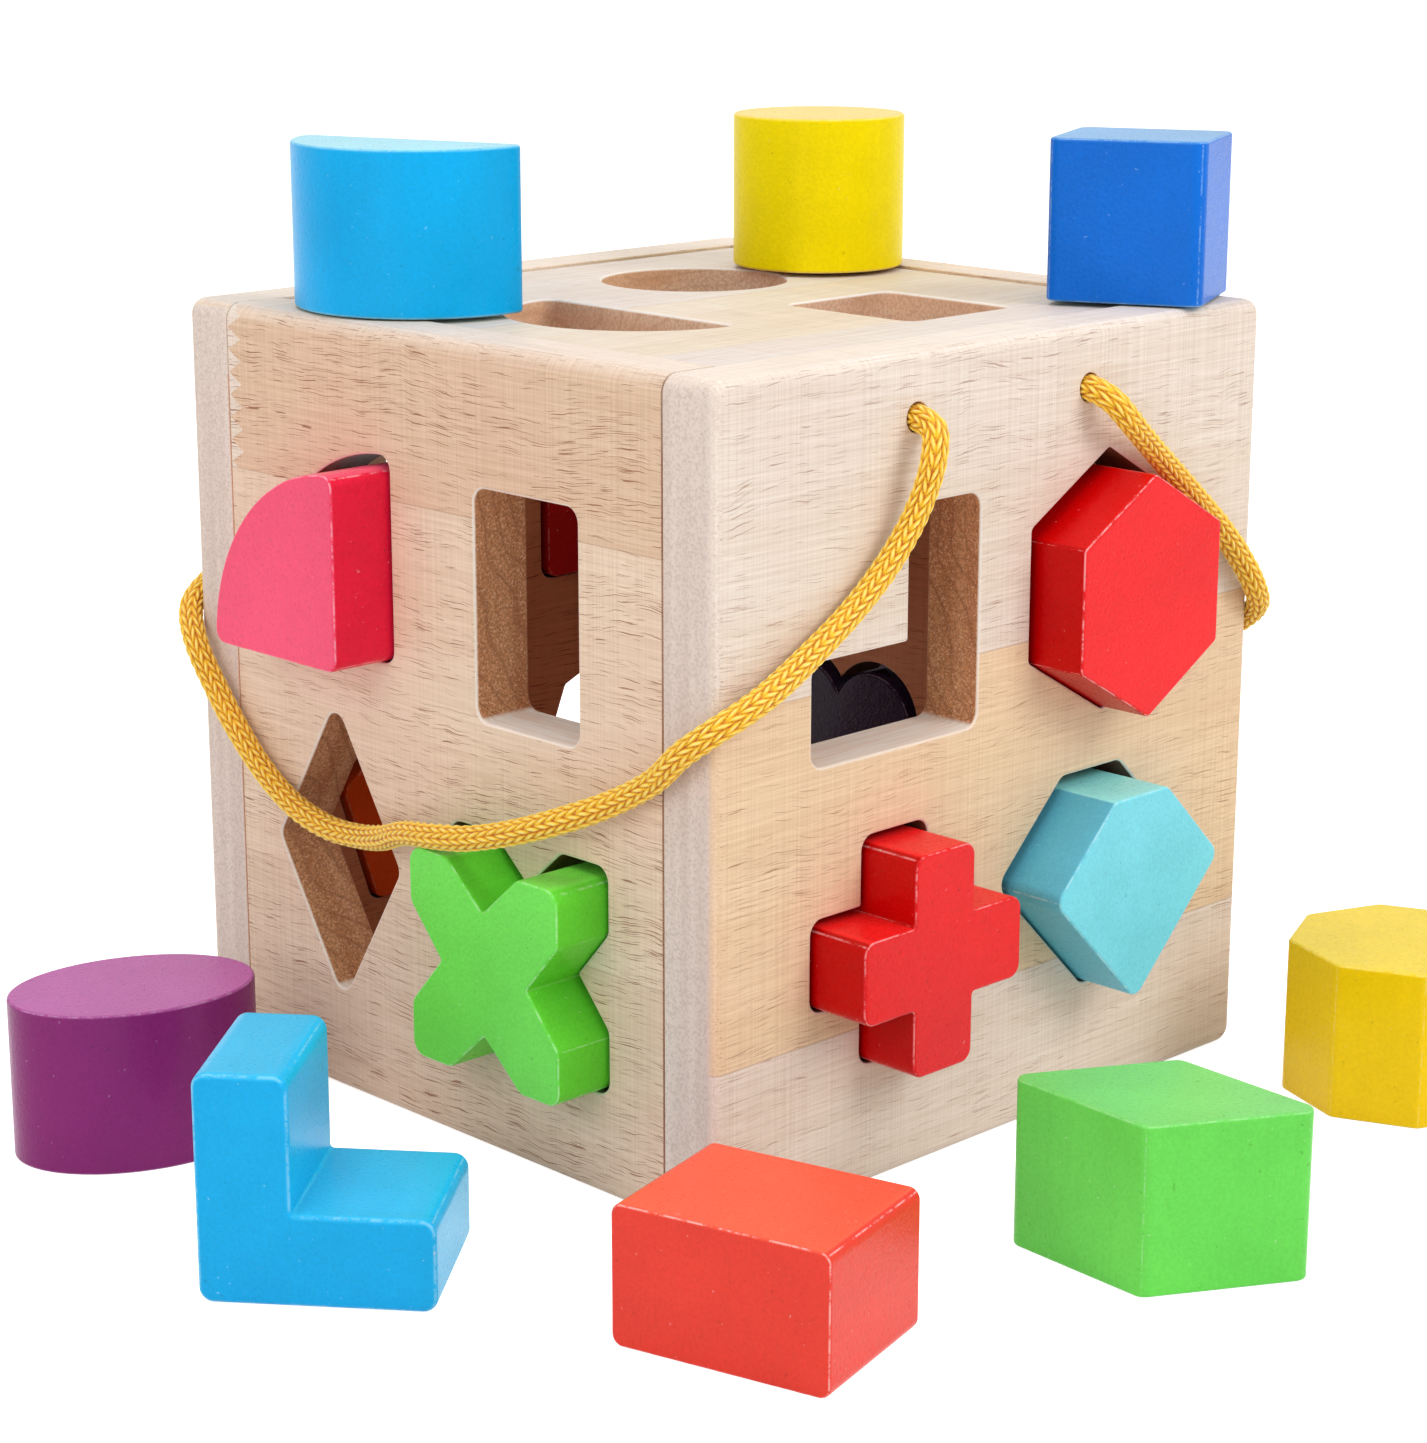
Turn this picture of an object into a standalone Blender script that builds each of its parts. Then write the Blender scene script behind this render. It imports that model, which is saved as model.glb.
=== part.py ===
# Wooden shape sorter: a box with shaped holes in its lid and four walls, the
# nineteen blocks that match them, and two cord handles.
# Metres, +Z up. The origin is the middle of the box's underside, the front wall
# faces -Y and the left wall faces -X.

from math import acos, atan2, ceil, cos, hypot, pi, radians, sin, tan

import bmesh
import bpy
from mathutils import Vector

mm = 0.001

# box
BOX_WIDTH = 136.5 * mm          # along X, the length of the front and back boards
BOX_DEPTH = 134.5 * mm          # along Y, outside to outside
BOX_HEIGHT = 140.0 * mm
BOARD = 11.5 * mm               # thickness of the four wall boards
BASE_BOARD = 9.0 * mm
LID_BOARD = 11.5 * mm
LID_PLAY = 0.5 * mm             # gap all round the lid
LID_DROP = 0.5 * mm             # lid's top below the walls' tops
REST_SIDE = 13.0 * mm           # square rests under the lid's corners
REST_HEIGHT = 18.0 * mm
SEAM = 0.3 * mm                 # gap between pieces that touch
FACE_ROUND = 2.0 * mm           # rounding of the front and back boards' outer rims
SIDE_ROUND = 3.0 * mm           # rounding along the side boards' top and bottom
HOLE_EASE = 0.6 * mm            # eased rims of the holes

# blocks and their holes
BLOCK_LENGTH = 28.5 * mm        # every block is a prism of this length
BLOCK_ROUND = 1.5 * mm          # rounding of a block's two end faces
CORNER_ROUND = 2.4 * mm         # rounding of a block's long edges
HOLE_CORNER = 1.4 * mm          # rounding of a hole's corners
CLEARANCE = 1.1 * mm            # each side, between a block and its hole

# cords
CORD = 4.0 * mm                 # diameter
CORD_HOLE = 5.0 * mm
CORD_HOLE_DROP = 10.7 * mm      # below the walls' tops
CORD_STEP = 4.3 * mm            # spacing of the points along a cord
CORD_COLUMNS = {"left": -22.55 * mm, "right": 20.75 * mm}
POCKET = 11.0 * mm              # round pocket inside the wall that a knot sits in
POCKET_DEPTH = 8.0 * mm
KNOT_PLAY = 0.5 * mm

# each outline's own sizes, and its clearance where that differs
SHAPES = {
    "rectangle": {"width": 23.1 * mm, "height": 37.4 * mm},
    "quarter_round": {"radius": 34.0 * mm},
    "diamond": {"half_width": 15.7 * mm, "half_height": 25.7 * mm},
    "notched_square": {"half": 18.6 * mm, "notch_half": 8.85 * mm, "notch_depth": 7.8 * mm},
    "ell": {"width": 37.6 * mm, "height": 37.8 * mm, "post": 15.1 * mm, "foot": 15.3 * mm},
    "hexagon": {"radius": 21.4 * mm, "clearance": 1.6 * mm},
    "cross": {"span": 38.3 * mm, "arm": 14.4 * mm, "clearance": 0.8 * mm},
    "cut_square": {"half_diagonal": 22.5 * mm, "cut": 15.2 * mm, "clearance": 1.2 * mm},
    "circle": {"radius": 16.2 * mm},
    "square": {"width": 24.4 * mm, "height": 28.0 * mm},
    "half_round": {"radius": 22.3 * mm, "chord": 1.6 * mm, "clearance": 1.5 * mm},
    "ellipse": {"long": 21.5 * mm, "short": 15.2 * mm},
    "octagon": {"radius": 20.5 * mm},
    "right_triangle": {"foot": 35.0 * mm, "rise": 33.0 * mm},
    "pentagon": {"radius": 20.5 * mm},
    "heart": {"lobe": 10.4 * mm, "spread": 9.2 * mm, "tip": 20.5 * mm},
    "star": {"radius": 21.0 * mm, "inner": 9.8 * mm},
    "triangle": {"side": 37.0 * mm},
    "trapezoid": {"bottom": 38.0 * mm, "top": 22.0 * mm, "height": 30.0 * mm},
}


def srgb(red, green, blue):
    def linear(value):
        value /= 255
        return value / 12.92 if value <= 0.04045 else ((value + 0.055) / 1.055) ** 2.4

    return (linear(red), linear(green), linear(blue), 1.0)


BEECH = srgb(226, 206, 184)
LID_WOOD = srgb(232, 214, 190)
INNER_WOOD = srgb(205, 182, 155)
CORD_GOLD = srgb(240, 168, 20)

# the inside of the box, which the lid and the base fill
INNER_WIDTH = BOX_WIDTH - 2 * BOARD
INNER_DEPTH = BOX_DEPTH - 2 * BOARD
LID_TOP = BOX_HEIGHT - LID_DROP
LID_UNDER = LID_TOP - LID_BOARD
WALL_TOP = BOX_HEIGHT + SEAM

# each wall has two by two fields between its neighbours, the base and the lid;
# a hole's place is given from the middle of its field
FIELD_X = INNER_WIDTH / 4
FIELD_Y = INNER_DEPTH / 4
FIELD_LOW = BASE_BOARD + (LID_UNDER - BASE_BOARD) / 4
FIELD_HIGH = BASE_BOARD + (LID_UNDER - BASE_BOARD) * 3 / 4


# ---------------------------------------------------------------- outlines

def arc(centre, radius, start, end, steps):
    return [(centre[0] + radius * cos(start + (end - start) * i / steps),
             centre[1] + radius * sin(start + (end - start) * i / steps))
            for i in range(steps + 1)]


def regular(count, radius, start=0.0):
    return [(radius * cos(start + 2 * pi * i / count), radius * sin(start + 2 * pi * i / count))
            for i in range(count)]


def mirrored(points):
    # the right half, going up, joined to its mirror image
    return points + [(-u, v) for u, v in reversed(points) if abs(u) > 1e-6]


def outline(shape):
    s = SHAPES[shape]
    if shape in ("rectangle", "square"):
        return mirrored([(s["width"] / 2, -s["height"] / 2), (s["width"] / 2, s["height"] / 2)])
    if shape == "quarter_round":
        return [(0, 0)] + arc((0, 0), s["radius"], 0, pi / 2, 10)
    if shape == "diamond":
        return mirrored([(0, -s["half_height"]), (s["half_width"], 0), (0, s["half_height"])])
    if shape == "notched_square":
        a, b, d = s["half"], s["notch_half"], s["half"] - s["notch_depth"]
        quarter = [(d, 0), (a, b), (a, a), (b, a)]
        points = []
        for turn in range(4):
            c, n = round(cos(turn * pi / 2)), round(sin(turn * pi / 2))
            points += [(u * c - v * n, u * n + v * c) for u, v in quarter]
        return points
    if shape == "ell":
        u, v = s["width"] / 2, s["height"] / 2
        return [(-u, -v), (u, -v), (u, v), (u - s["post"], v), (u - s["post"], s["foot"] - v),
                (-u, s["foot"] - v)]
    if shape == "hexagon":
        return regular(6, s["radius"], pi / 6)
    if shape == "octagon":
        return regular(8, s["radius"])
    if shape == "pentagon":
        return regular(5, s["radius"], pi / 2)
    if shape == "circle":
        return regular(32, s["radius"])
    if shape == "cross":
        a, b = s["span"] / 2, s["arm"] / 2
        return mirrored([(b, -a), (b, -b), (a, -b), (a, b), (b, b), (b, a)])
    if shape == "cut_square":
        a, top = s["half_diagonal"], s["cut"]
        return mirrored([(0, -a), (a, 0), (a - top, top)])
    if shape == "half_round":
        sweep = acos(s["chord"] / s["radius"])
        return arc((0, 0), s["radius"], pi - sweep, pi + sweep, 12)
    if shape == "ellipse":
        return [(s["long"] * cos(2 * pi * i / 36), s["short"] * sin(2 * pi * i / 36))
                for i in range(36)]
    if shape == "right_triangle":
        return [(0, 0), (s["foot"], 0), (0, s["rise"])]
    if shape == "heart":
        # two lobes, and straight sides that touch them and meet at the tip
        r, x = s["lobe"], s["spread"]
        touch = atan2(-s["tip"], -x) + acos(r / hypot(x, s["tip"]))
        notch = acos(-x / r)
        return mirrored([(0, -s["tip"])] + arc((x, 0), r, touch, notch, 12))
    if shape == "star":
        return [(p[0], p[1]) for pair in zip(regular(5, s["radius"], pi / 2),
                                             regular(5, s["inner"], pi / 2 + pi / 5))
                for p in pair]
    if shape == "triangle":
        rise = s["side"] * cos(pi / 6)
        return mirrored([(s["side"] / 2, -rise / 2), (0, rise / 2)])
    if shape == "trapezoid":
        return mirrored([(s["bottom"] / 2, -s["height"] / 2), (s["top"] / 2, s["height"] / 2)])


def clearance(shape):
    return SHAPES[shape].get("clearance", CLEARANCE)


def grown(points, distance):
    # every side moved out by the distance, with mitred corners
    result = []
    for i, here in enumerate(points):
        before, after = points[i - 1], points[(i + 1) % len(points)]
        one = Vector((here[1] - before[1], before[0] - here[0])).normalized()
        two = Vector((after[1] - here[1], here[0] - after[0])).normalized()
        shift = (one + two) * (distance / (1 + one.dot(two)))
        result.append((here[0] + shift.x, here[1] + shift.y))
    return result


def filleted(points, radius, steps=3):
    # corners that turn by more than 25 degrees become arcs
    result = []
    for i, here in enumerate(points):
        corner = Vector(here)
        back, ahead = Vector(points[i - 1]) - corner, Vector(points[(i + 1) % len(points)]) - corner
        turn = pi - back.angle(ahead)
        if turn < radians(25):
            result.append(here)
            continue
        room = 0.45 * min(back.length, ahead.length)
        run = min(radius * tan(turn / 2), room)
        r = run / tan(turn / 2)
        middle = corner + (back.normalized() + ahead.normalized()).normalized() * hypot(run, r)
        first, last = corner + back.normalized() * run, corner + ahead.normalized() * run
        a = atan2(first.y - middle.y, first.x - middle.x)
        swing = (atan2(last.y - middle.y, last.x - middle.x) - a + pi) % (2 * pi) - pi
        result += arc(middle, r, a, a + swing, steps)
    return result


def block_outline(shape):
    return filleted(outline(shape), CORNER_ROUND)


def hole_outline(shape, place):
    return [(u + place[0], v + place[1])
            for u, v in filleted(grown(outline(shape), clearance(shape)), HOLE_CORNER, 2)]


# ---------------------------------------------------------------- solids

def material(name, colour, roughness):
    made = bpy.data.materials.new(name)
    made.use_nodes = True
    shader = made.node_tree.nodes["Principled BSDF"]
    shader.inputs["Base Color"].default_value = colour
    shader.inputs["Roughness"].default_value = roughness
    shader.inputs["Metallic"].default_value = 0.0
    return made


def add(name, mesh, collection, colour=None, roughness=0.6):
    made = bpy.data.objects.new(name, mesh)
    collection.objects.link(made)
    if colour:
        mesh.materials.clear()
        mesh.materials.append(material(name, colour, roughness))
    return made


def placed(made, name, collection):
    # a primitive, named and moved to its collection
    made.name = name
    for owner in made.users_collection:
        owner.objects.unlink(made)
    collection.objects.link(made)
    return made


def welded(curve_object):
    # the curve as a mesh whose caps are joined to its sides
    bpy.context.view_layer.update()
    evaluated = curve_object.evaluated_get(bpy.context.evaluated_depsgraph_get())
    mesh = bpy.data.meshes.new_from_object(evaluated)
    edit = bmesh.new()
    edit.from_mesh(mesh)
    bmesh.ops.remove_doubles(edit, verts=edit.verts, dist=1e-6)
    bmesh.ops.dissolve_limit(edit, angle_limit=radians(0.5), verts=edit.verts, edges=edit.edges)
    edit.to_mesh(mesh)
    edit.free()
    bpy.data.objects.remove(curve_object)
    return mesh


def slab(name, outlines, thickness):
    # a flat plate; the first outline is its edge and the others are holes in it
    curve = bpy.data.curves.new(name, "CURVE")
    curve.dimensions = "2D"
    curve.fill_mode = "BOTH"
    curve.extrude = thickness / 2
    for points in outlines:
        spline = curve.splines.new("POLY")
        spline.points.add(len(points) - 1)
        for point, (u, v) in zip(spline.points, points):
            point.co = (u, v, 0, 1)
        spline.use_cyclic_u = True
    drawn = bpy.data.objects.new(name, curve)
    parts.objects.link(drawn)
    return welded(drawn)


def soften(made, width, weigh, segments=2):
    # rounds the sharp edges by the width times the weight that weigh gives them
    edit = bmesh.new()
    edit.from_mesh(made.data)
    weight = edit.edges.layers.float.new("bevel_weight_edge")
    for edge in edit.edges:
        if len(edge.link_faces) == 2 and edge.calc_face_angle() > radians(30):
            edge[weight] = weigh((edge.verts[0].co + edge.verts[1].co) / 2,
                                 edge.verts[1].co - edge.verts[0].co)
    edit.to_mesh(made.data)
    edit.free()
    bevel = made.modifiers.new("Soft edges", "BEVEL")
    bevel.limit_method = "WEIGHT"
    bevel.width = width
    bevel.segments = segments
    bevel.use_clamp_overlap = False
    bevel.loop_slide = False
    made.data.shade_smooth()
    made.data.set_sharp_from_angle(angle=radians(40))


def cut(made, name, radius, depth, location, rotation):
    bpy.ops.mesh.primitive_cylinder_add(vertices=24, radius=radius, depth=depth,
                                        location=location, rotation=rotation)
    tool = placed(bpy.context.object, name, cutters)
    tool.hide_render = True
    tool.display_type = "WIRE"
    boolean = made.modifiers.new(name, "BOOLEAN")
    boolean.operation = "DIFFERENCE"
    boolean.solver = "EXACT"
    boolean.object = tool


# ---------------------------------------------------------------- the scene

for old in list(bpy.data.objects):
    bpy.data.objects.remove(old)
parts = bpy.data.collections.new("shape_sorter")
cutters = bpy.data.collections.new("cutters")
bpy.context.scene.collection.children.link(parts)
bpy.context.scene.collection.children.link(cutters)

# Each wall: the axis its width runs along, which way it faces, and its holes.
# A hole has its field (left or right, low or high) and its offset from there.
FRONT_TURN = (pi / 2, 0, 0)         # outline's u along X, v along Z
SIDE_TURN = (pi / 2, 0, pi / 2)     # outline's u along Y, v along Z

WALLS = {
    "front": {"turn": FRONT_TURN, "facing": -1, "field": FIELD_X, "holes": {
        "ell": (-1, 1, (1.9, -3.2)), "hexagon": (1, 1, (-1.5, -3.1)),
        "cross": (-1, -1, (2.1, 2.7)), "cut_square": (1, -1, (-4.1, 6.5))}},
    "back": {"turn": FRONT_TURN, "facing": 1, "field": FIELD_X, "holes": {
        "ellipse": (-1, 1, (2.1, -3.2)), "right_triangle": (1, 1, (-22.3, -18.2)),
        "pentagon": (-1, -1, (2.1, 2.2)), "octagon": (1, -1, (-2.1, 2.7))}},
    "left": {"turn": SIDE_TURN, "facing": -1, "field": FIELD_Y, "holes": {
        "rectangle": (-1, 1, (4.6, -1.8)), "quarter_round": (1, 1, (-15.5, -14.9)),
        "notched_square": (-1, -1, (5.2, -0.6)), "diamond": (1, -1, (0.1, 6.4))}},
    "right": {"turn": SIDE_TURN, "facing": 1, "field": FIELD_Y, "holes": {
        "star": (-1, 1, (3.0, -3.0)), "triangle": (1, 1, (-1.0, -3.2)),
        "trapezoid": (-1, -1, (3.0, 1.0)), "heart": (1, -1, (-4.0, 10.4))}},
}


def hole_place(wall, shape):
    # the hole's reference point in its wall, from the middle of the wall's foot
    side, level, (du, dv) = WALLS[wall]["holes"][shape]
    return (side * WALLS[wall]["field"] + du * mm,
            (FIELD_HIGH if level > 0 else FIELD_LOW) + dv * mm)


def wall(name):
    w = WALLS[name]
    holes = [hole_outline(shape, hole_place(name, shape)) for shape in w["holes"]]
    outer = w["facing"] if w["turn"] is SIDE_TURN else -w["facing"]
    if w["turn"] is FRONT_TURN:
        half = BOX_WIDTH / 2
        edge = [(-half, 0), (half, 0), (half, BOX_HEIGHT), (-half, BOX_HEIGHT)]
        edge = filleted(edge, SIDE_ROUND, 3)
        holes += [[(u + column, v + BOX_HEIGHT - CORD_HOLE_DROP)
                   for u, v in regular(16, CORD_HOLE / 2)] for column in CORD_COLUMNS.values()]
        width, place = FACE_ROUND, (0, w["facing"] * (BOX_DEPTH - BOARD) / 2, 0)
    else:
        half = BOX_DEPTH / 2 - BOARD - SEAM
        edge = [(-half, 0), (half, 0), (half, BOX_HEIGHT), (-half, BOX_HEIGHT)]
        width, place = SIDE_ROUND, (w["facing"] * (BOX_WIDTH - BOARD) / 2, 0, 0)
    made = add(name + "_panel", slab(name, [edge] + holes, BOARD), parts, BEECH, 0.55)
    made.rotation_euler = w["turn"]
    made.location = place

    def weigh(middle, run):
        on_outer_face = middle.z * outer > BOARD * 0.49
        flat = abs(run.z) < 1e-6
        level = 1e-5 < middle.y < BOX_HEIGHT - 1e-5
        if not (flat and on_outer_face):
            return 0.0
        if w["turn"] is FRONT_TURN and (abs(middle.x) > half - SIDE_ROUND or not level):
            return 1.0
        if w["turn"] is SIDE_TURN and not level:
            return 1.0
        in_hole = level and abs(middle.x) < half - 1e-5
        for_cord = abs(middle.y - BOX_HEIGHT + CORD_HOLE_DROP) < CORD_HOLE
        return HOLE_EASE / width if in_hole and not for_cord else 0.0

    soften(made, width, weigh)
    if w["turn"] is FRONT_TURN:
        for side, column in CORD_COLUMNS.items():
            inner = w["facing"] * (BOX_DEPTH / 2 - BOARD)
            cut(made, f"pocket_{name}_{side}", POCKET / 2, 2 * POCKET_DEPTH,
                (column, inner, BOX_HEIGHT - CORD_HOLE_DROP), (pi / 2, 0, 0))
    return made


for name in WALLS:
    wall(name)

# base, flush with the walls' feet
half_u, half_v = INNER_WIDTH / 2 - SEAM, INNER_DEPTH / 2 - SEAM
plate = slab("base", [[(-half_u, -half_v), (half_u, -half_v), (half_u, half_v), (-half_u, half_v)]],
             BASE_BOARD)
base = add("base_board", plate, parts, INNER_WOOD, 0.6)
base.location = (0, 0, BASE_BOARD / 2)

# lid, with three holes placed from the middle of its fields
LID_HOLES = {"circle": (16.75 * mm, 24.95 * mm), "square": (17.35 * mm, -26.25 * mm),
             "half_round": (-20.15 * mm, 0.25 * mm)}
half_u, half_v = INNER_WIDTH / 2 - LID_PLAY, INNER_DEPTH / 2 - LID_PLAY
rim = filleted([(-half_u, -half_v), (half_u, -half_v), (half_u, half_v), (-half_u, half_v)], 1.0 * mm, 2)
plate = slab("lid", [rim] + [hole_outline(shape, place) for shape, place in LID_HOLES.items()], LID_BOARD)
lid = add("lid", plate, parts, LID_WOOD, 0.55)
lid.location = (0, 0, LID_UNDER + LID_BOARD / 2)
soften(lid, HOLE_EASE, lambda middle, run: 1.0 if abs(run.z) < 1e-6 and middle.z > 0 else 0.0)

# rests in the four corners, on which the lid lies
for x in (-1, 1):
    for y in (-1, 1):
        bpy.ops.mesh.primitive_cube_add(size=1)
        corner = ("front" if y < 0 else "back") + ("_left" if x < 0 else "_right")
        rest = placed(bpy.context.object, "lid_rest_" + corner, parts)
        for vertex in rest.data.vertices:
            vertex.co.x *= REST_SIDE
            vertex.co.y *= REST_SIDE
            vertex.co.z *= REST_HEIGHT
        rest.data.materials.append(material(rest.name, INNER_WOOD, 0.6))
        rest.location = (x * (INNER_WIDTH / 2 - SEAM - REST_SIDE / 2),
                         y * (INNER_DEPTH / 2 - SEAM - REST_SIDE / 2),
                         LID_UNDER - SEAM - REST_HEIGHT / 2)


# ---------------------------------------------------------------- blocks

def block(name, shape, colour, location, rotation):
    made = add("block_" + name, slab(name, [block_outline(shape)], BLOCK_LENGTH), parts, colour, 0.35)
    made.location = location
    made.rotation_euler = rotation
    soften(made, BLOCK_ROUND, lambda middle, run: 1.0 if abs(run.z) < 1e-6 else 0.0)
    return made


# a block in a wall rests on the lower side of its hole: how steep that side is
# sets how far the block drops there
REST_SLOPE = {"hexagon": radians(30), "cut_square": radians(45), "heart": radians(48),
              "pentagon": 0.0}


def seated(wall_name, shape, name, colour, proud, aside=0.0):
    w = WALLS[wall_name]
    u, v = hole_place(wall_name, shape)
    drop = (clearance(shape) - SEAM) / cos(REST_SLOPE.get(shape, 0.0))
    away = (BOX_WIDTH if w["turn"] is SIDE_TURN else BOX_DEPTH) / 2 + proud - BLOCK_LENGTH / 2
    if w["turn"] is SIDE_TURN:
        location = (w["facing"] * away, u + aside, v - drop)
    else:
        location = (u + aside, w["facing"] * away, v - drop)
    return block(name, shape, colour, location, w["turn"])


seated("front", "hexagon", "hexagon", srgb(250, 50, 55), 10.2 * mm)
seated("front", "cross", "cross", srgb(225, 40, 45), 11.3 * mm)
seated("front", "cut_square", "cut_square", srgb(120, 210, 220), 11.3 * mm, 0.3 * mm)
seated("left", "quarter_round", "quarter_round", srgb(245, 90, 125), 12.0 * mm, -0.5 * mm)
seated("left", "notched_square", "notched_square", srgb(95, 210, 80), 10.5 * mm, -0.5 * mm)
seated("back", "right_triangle", "right_triangle", srgb(150, 20, 20), 16.0 * mm)
seated("back", "pentagon", "pentagon", srgb(240, 120, 20), 16.0 * mm)
seated("right", "star", "star", srgb(250, 190, 20), 16.0 * mm)
seated("right", "triangle", "triangle", srgb(60, 170, 70), 16.0 * mm)
seated("right", "trapezoid", "trapezoid", srgb(230, 70, 130), 16.0 * mm)
seated("right", "heart", "heart", srgb(70, 55, 150), 16.0 * mm)


def standing(name, shape, colour, x, y, z, turn):
    # on one of its ends
    return block(name, shape, colour, (x, y, z + BLOCK_LENGTH / 2), (0, 0, radians(turn)))


def lying(name, shape, colour, x, y, height, turn, tip=0):
    # on one of its sides, the outline upright and tipped over by the tip
    return block(name, shape, colour, (x, y, height / 2), (pi / 2, radians(-tip), radians(turn)))


# on the lid and the wall tops
standing("half_round", "half_round", srgb(10, 165, 235), -BOX_WIDTH / 2 + 24.32 * mm, 30.85 * mm, WALL_TOP, 19.9)
standing("cylinder", "circle", srgb(255, 222, 0), BOX_WIDTH / 2 - 22.3 * mm, 21.05 * mm, WALL_TOP, 0)
standing("cuboid", "square", srgb(15, 110, 215), BOX_WIDTH / 2 - 15.5 * mm, 15.95 * mm - BOX_DEPTH / 2, WALL_TOP, 25.8)

# on the table round the box
standing("diamond", "diamond", srgb(105, 210, 95), -21.65 * mm, -120.95 * mm, 0, 28.2)
standing("ellipse", "ellipse", srgb(140, 45, 115), -108.35 * mm, 35.05 * mm, 0, 161.3)
standing("octagon", "octagon", srgb(240, 205, 25), 68.85 * mm, -103.55 * mm, 0, 1.2)
lying("rectangle", "rectangle", srgb(245, 85, 75), -86.55 * mm, -97.15 * mm,
      SHAPES["rectangle"]["width"], -74.8, 90)
lying("ell", "ell", srgb(35, 170, 230), -118.1 * mm, -32.8 * mm, SHAPES["ell"]["height"], 129.3)


# ---------------------------------------------------------------- cords

# Each cord leaves a hole in the front wall, goes round a side of the box and ends
# in the back wall's hole above. Places are from the box's near corner: along X,
# along Y and up, in millimetres.
CORD_ROUTES = {
    "left": [
        (45.7, 3.5, 129.3), (45.7, -0.6, 129.1), (45.0, -4.3, 127.6), (43.4, -5.6, 123.2),
        (42.0, -4.9, 117.8), (39.3, -3.9, 112.1), (34.5, -3.1, 106.1), (27.4, -2.8, 100.4),
        (18.6, -2.9, 95.3), (9.6, -3.5, 91.2), (2.9, -3.2, 88.5), (-1.2, -0.9, 85.8),
        (-3.5, 4.0, 81.6), (-3.1, 10.6, 76.0), (-3.8, 19.0, 71.0), (-6.2, 28.4, 66.6),
        (-8.4, 38.0, 62.9), (-9.6, 48.0, 60.0), (-9.9, 57.0, 58.5), (-8.4, 66.0, 56.8),
        (-5.4, 75.5, 53.3), (-3.2, 85.0, 51.0), (-2.9, 94.5, 50.6), (-2.9, 104.0, 52.7),
        (-2.9, 112.5, 57.2), (-2.9, 120.0, 63.5), (-3.1, 126.0, 70.4), (-3.5, 130.6, 77.4),
        (-1.2, 135.4, 82.4), (2.9, 137.7, 85.6), (9.6, 138.0, 89.4), (18.6, 137.4, 94.2),
        (27.6, 137.3, 99.6), (35.6, 137.5, 105.2), (41.8, 138.5, 111.4), (45.2, 139.7, 117.2),
        (46.2, 140.7, 122.8), (46.2, 139.1, 127.2), (45.8, 135.1, 129.1), (45.7, 131.0, 129.3)],
    "right": [
        (89.0, 3.5, 129.3), (89.0, -0.6, 129.1), (89.8, -4.4, 127.4), (93.0, -5.6, 123.9),
        (99.3, -4.5, 119.3), (107.4, -3.4, 113.4), (115.4, -3.0, 107.2), (122.6, -3.0, 101.0),
        (128.6, -3.2, 94.8), (133.2, -3.4, 88.8), (137.3, -1.2, 84.2), (139.9, 4.0, 80.2),
        (139.7, 12.0, 75.6), (139.6, 22.0, 71.6), (140.4, 33.0, 68.8), (141.4, 45.0, 67.0),
        (142.0, 57.0, 66.2), (142.2, 67.0, 66.0), (142.0, 78.0, 66.2), (141.4, 90.0, 67.0),
        (140.4, 102.0, 68.8), (139.6, 113.0, 71.6), (139.7, 122.5, 75.6), (139.9, 130.5, 80.2),
        (137.3, 135.7, 84.2), (133.2, 137.9, 88.8), (128.6, 137.7, 94.8), (122.6, 137.5, 101.0),
        (115.4, 137.5, 107.2), (107.4, 137.9, 113.4), (99.6, 139.1, 119.6), (93.6, 140.5, 124.6),
        (90.0, 139.3, 127.7), (89.0, 135.1, 129.1), (89.0, 131.0, 129.3)],
}


def smooth_route(places):
    # a curve through every place, then points at even steps along it
    fine = []
    for i in range(len(places) - 1):
        a, b = places[max(i - 1, 0)], places[i]
        c, d = places[i + 1], places[min(i + 2, len(places) - 1)]
        for k in range(12):
            t = k / 12
            fine.append(b + 0.5 * t * ((c - a) + t * ((2 * a - 5 * b + 4 * c - d)
                                                      + t * (3 * (b - c) + d - a))))
    fine.append(places[-1])
    total = sum((q - p).length for p, q in zip(fine, fine[1:]))
    count = ceil(total / CORD_STEP)
    points, walked, index = [fine[0]], 0.0, 0
    for step in range(1, count):
        goal = total * step / count
        while walked + (fine[index + 1] - fine[index]).length < goal:
            walked += (fine[index + 1] - fine[index]).length
            index += 1
        span = fine[index + 1] - fine[index]
        points.append(fine[index] + span * ((goal - walked) / span.length))
    return points + [fine[-1]], total


def tube(name, points, radius, colour):
    curve = bpy.data.curves.new(name, "CURVE")
    curve.dimensions = "3D"
    curve.fill_mode = "FULL"
    curve.bevel_depth = radius
    curve.bevel_resolution = 2
    curve.use_fill_caps = True
    spline = curve.splines.new("POLY")
    spline.points.add(len(points) - 1)
    for point, place in zip(spline.points, points):
        point.co = (*place, 1)
    made = bpy.data.objects.new(name, curve)
    parts.objects.link(made)
    curve.materials.append(material(name, colour, 0.7))
    return made


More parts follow.
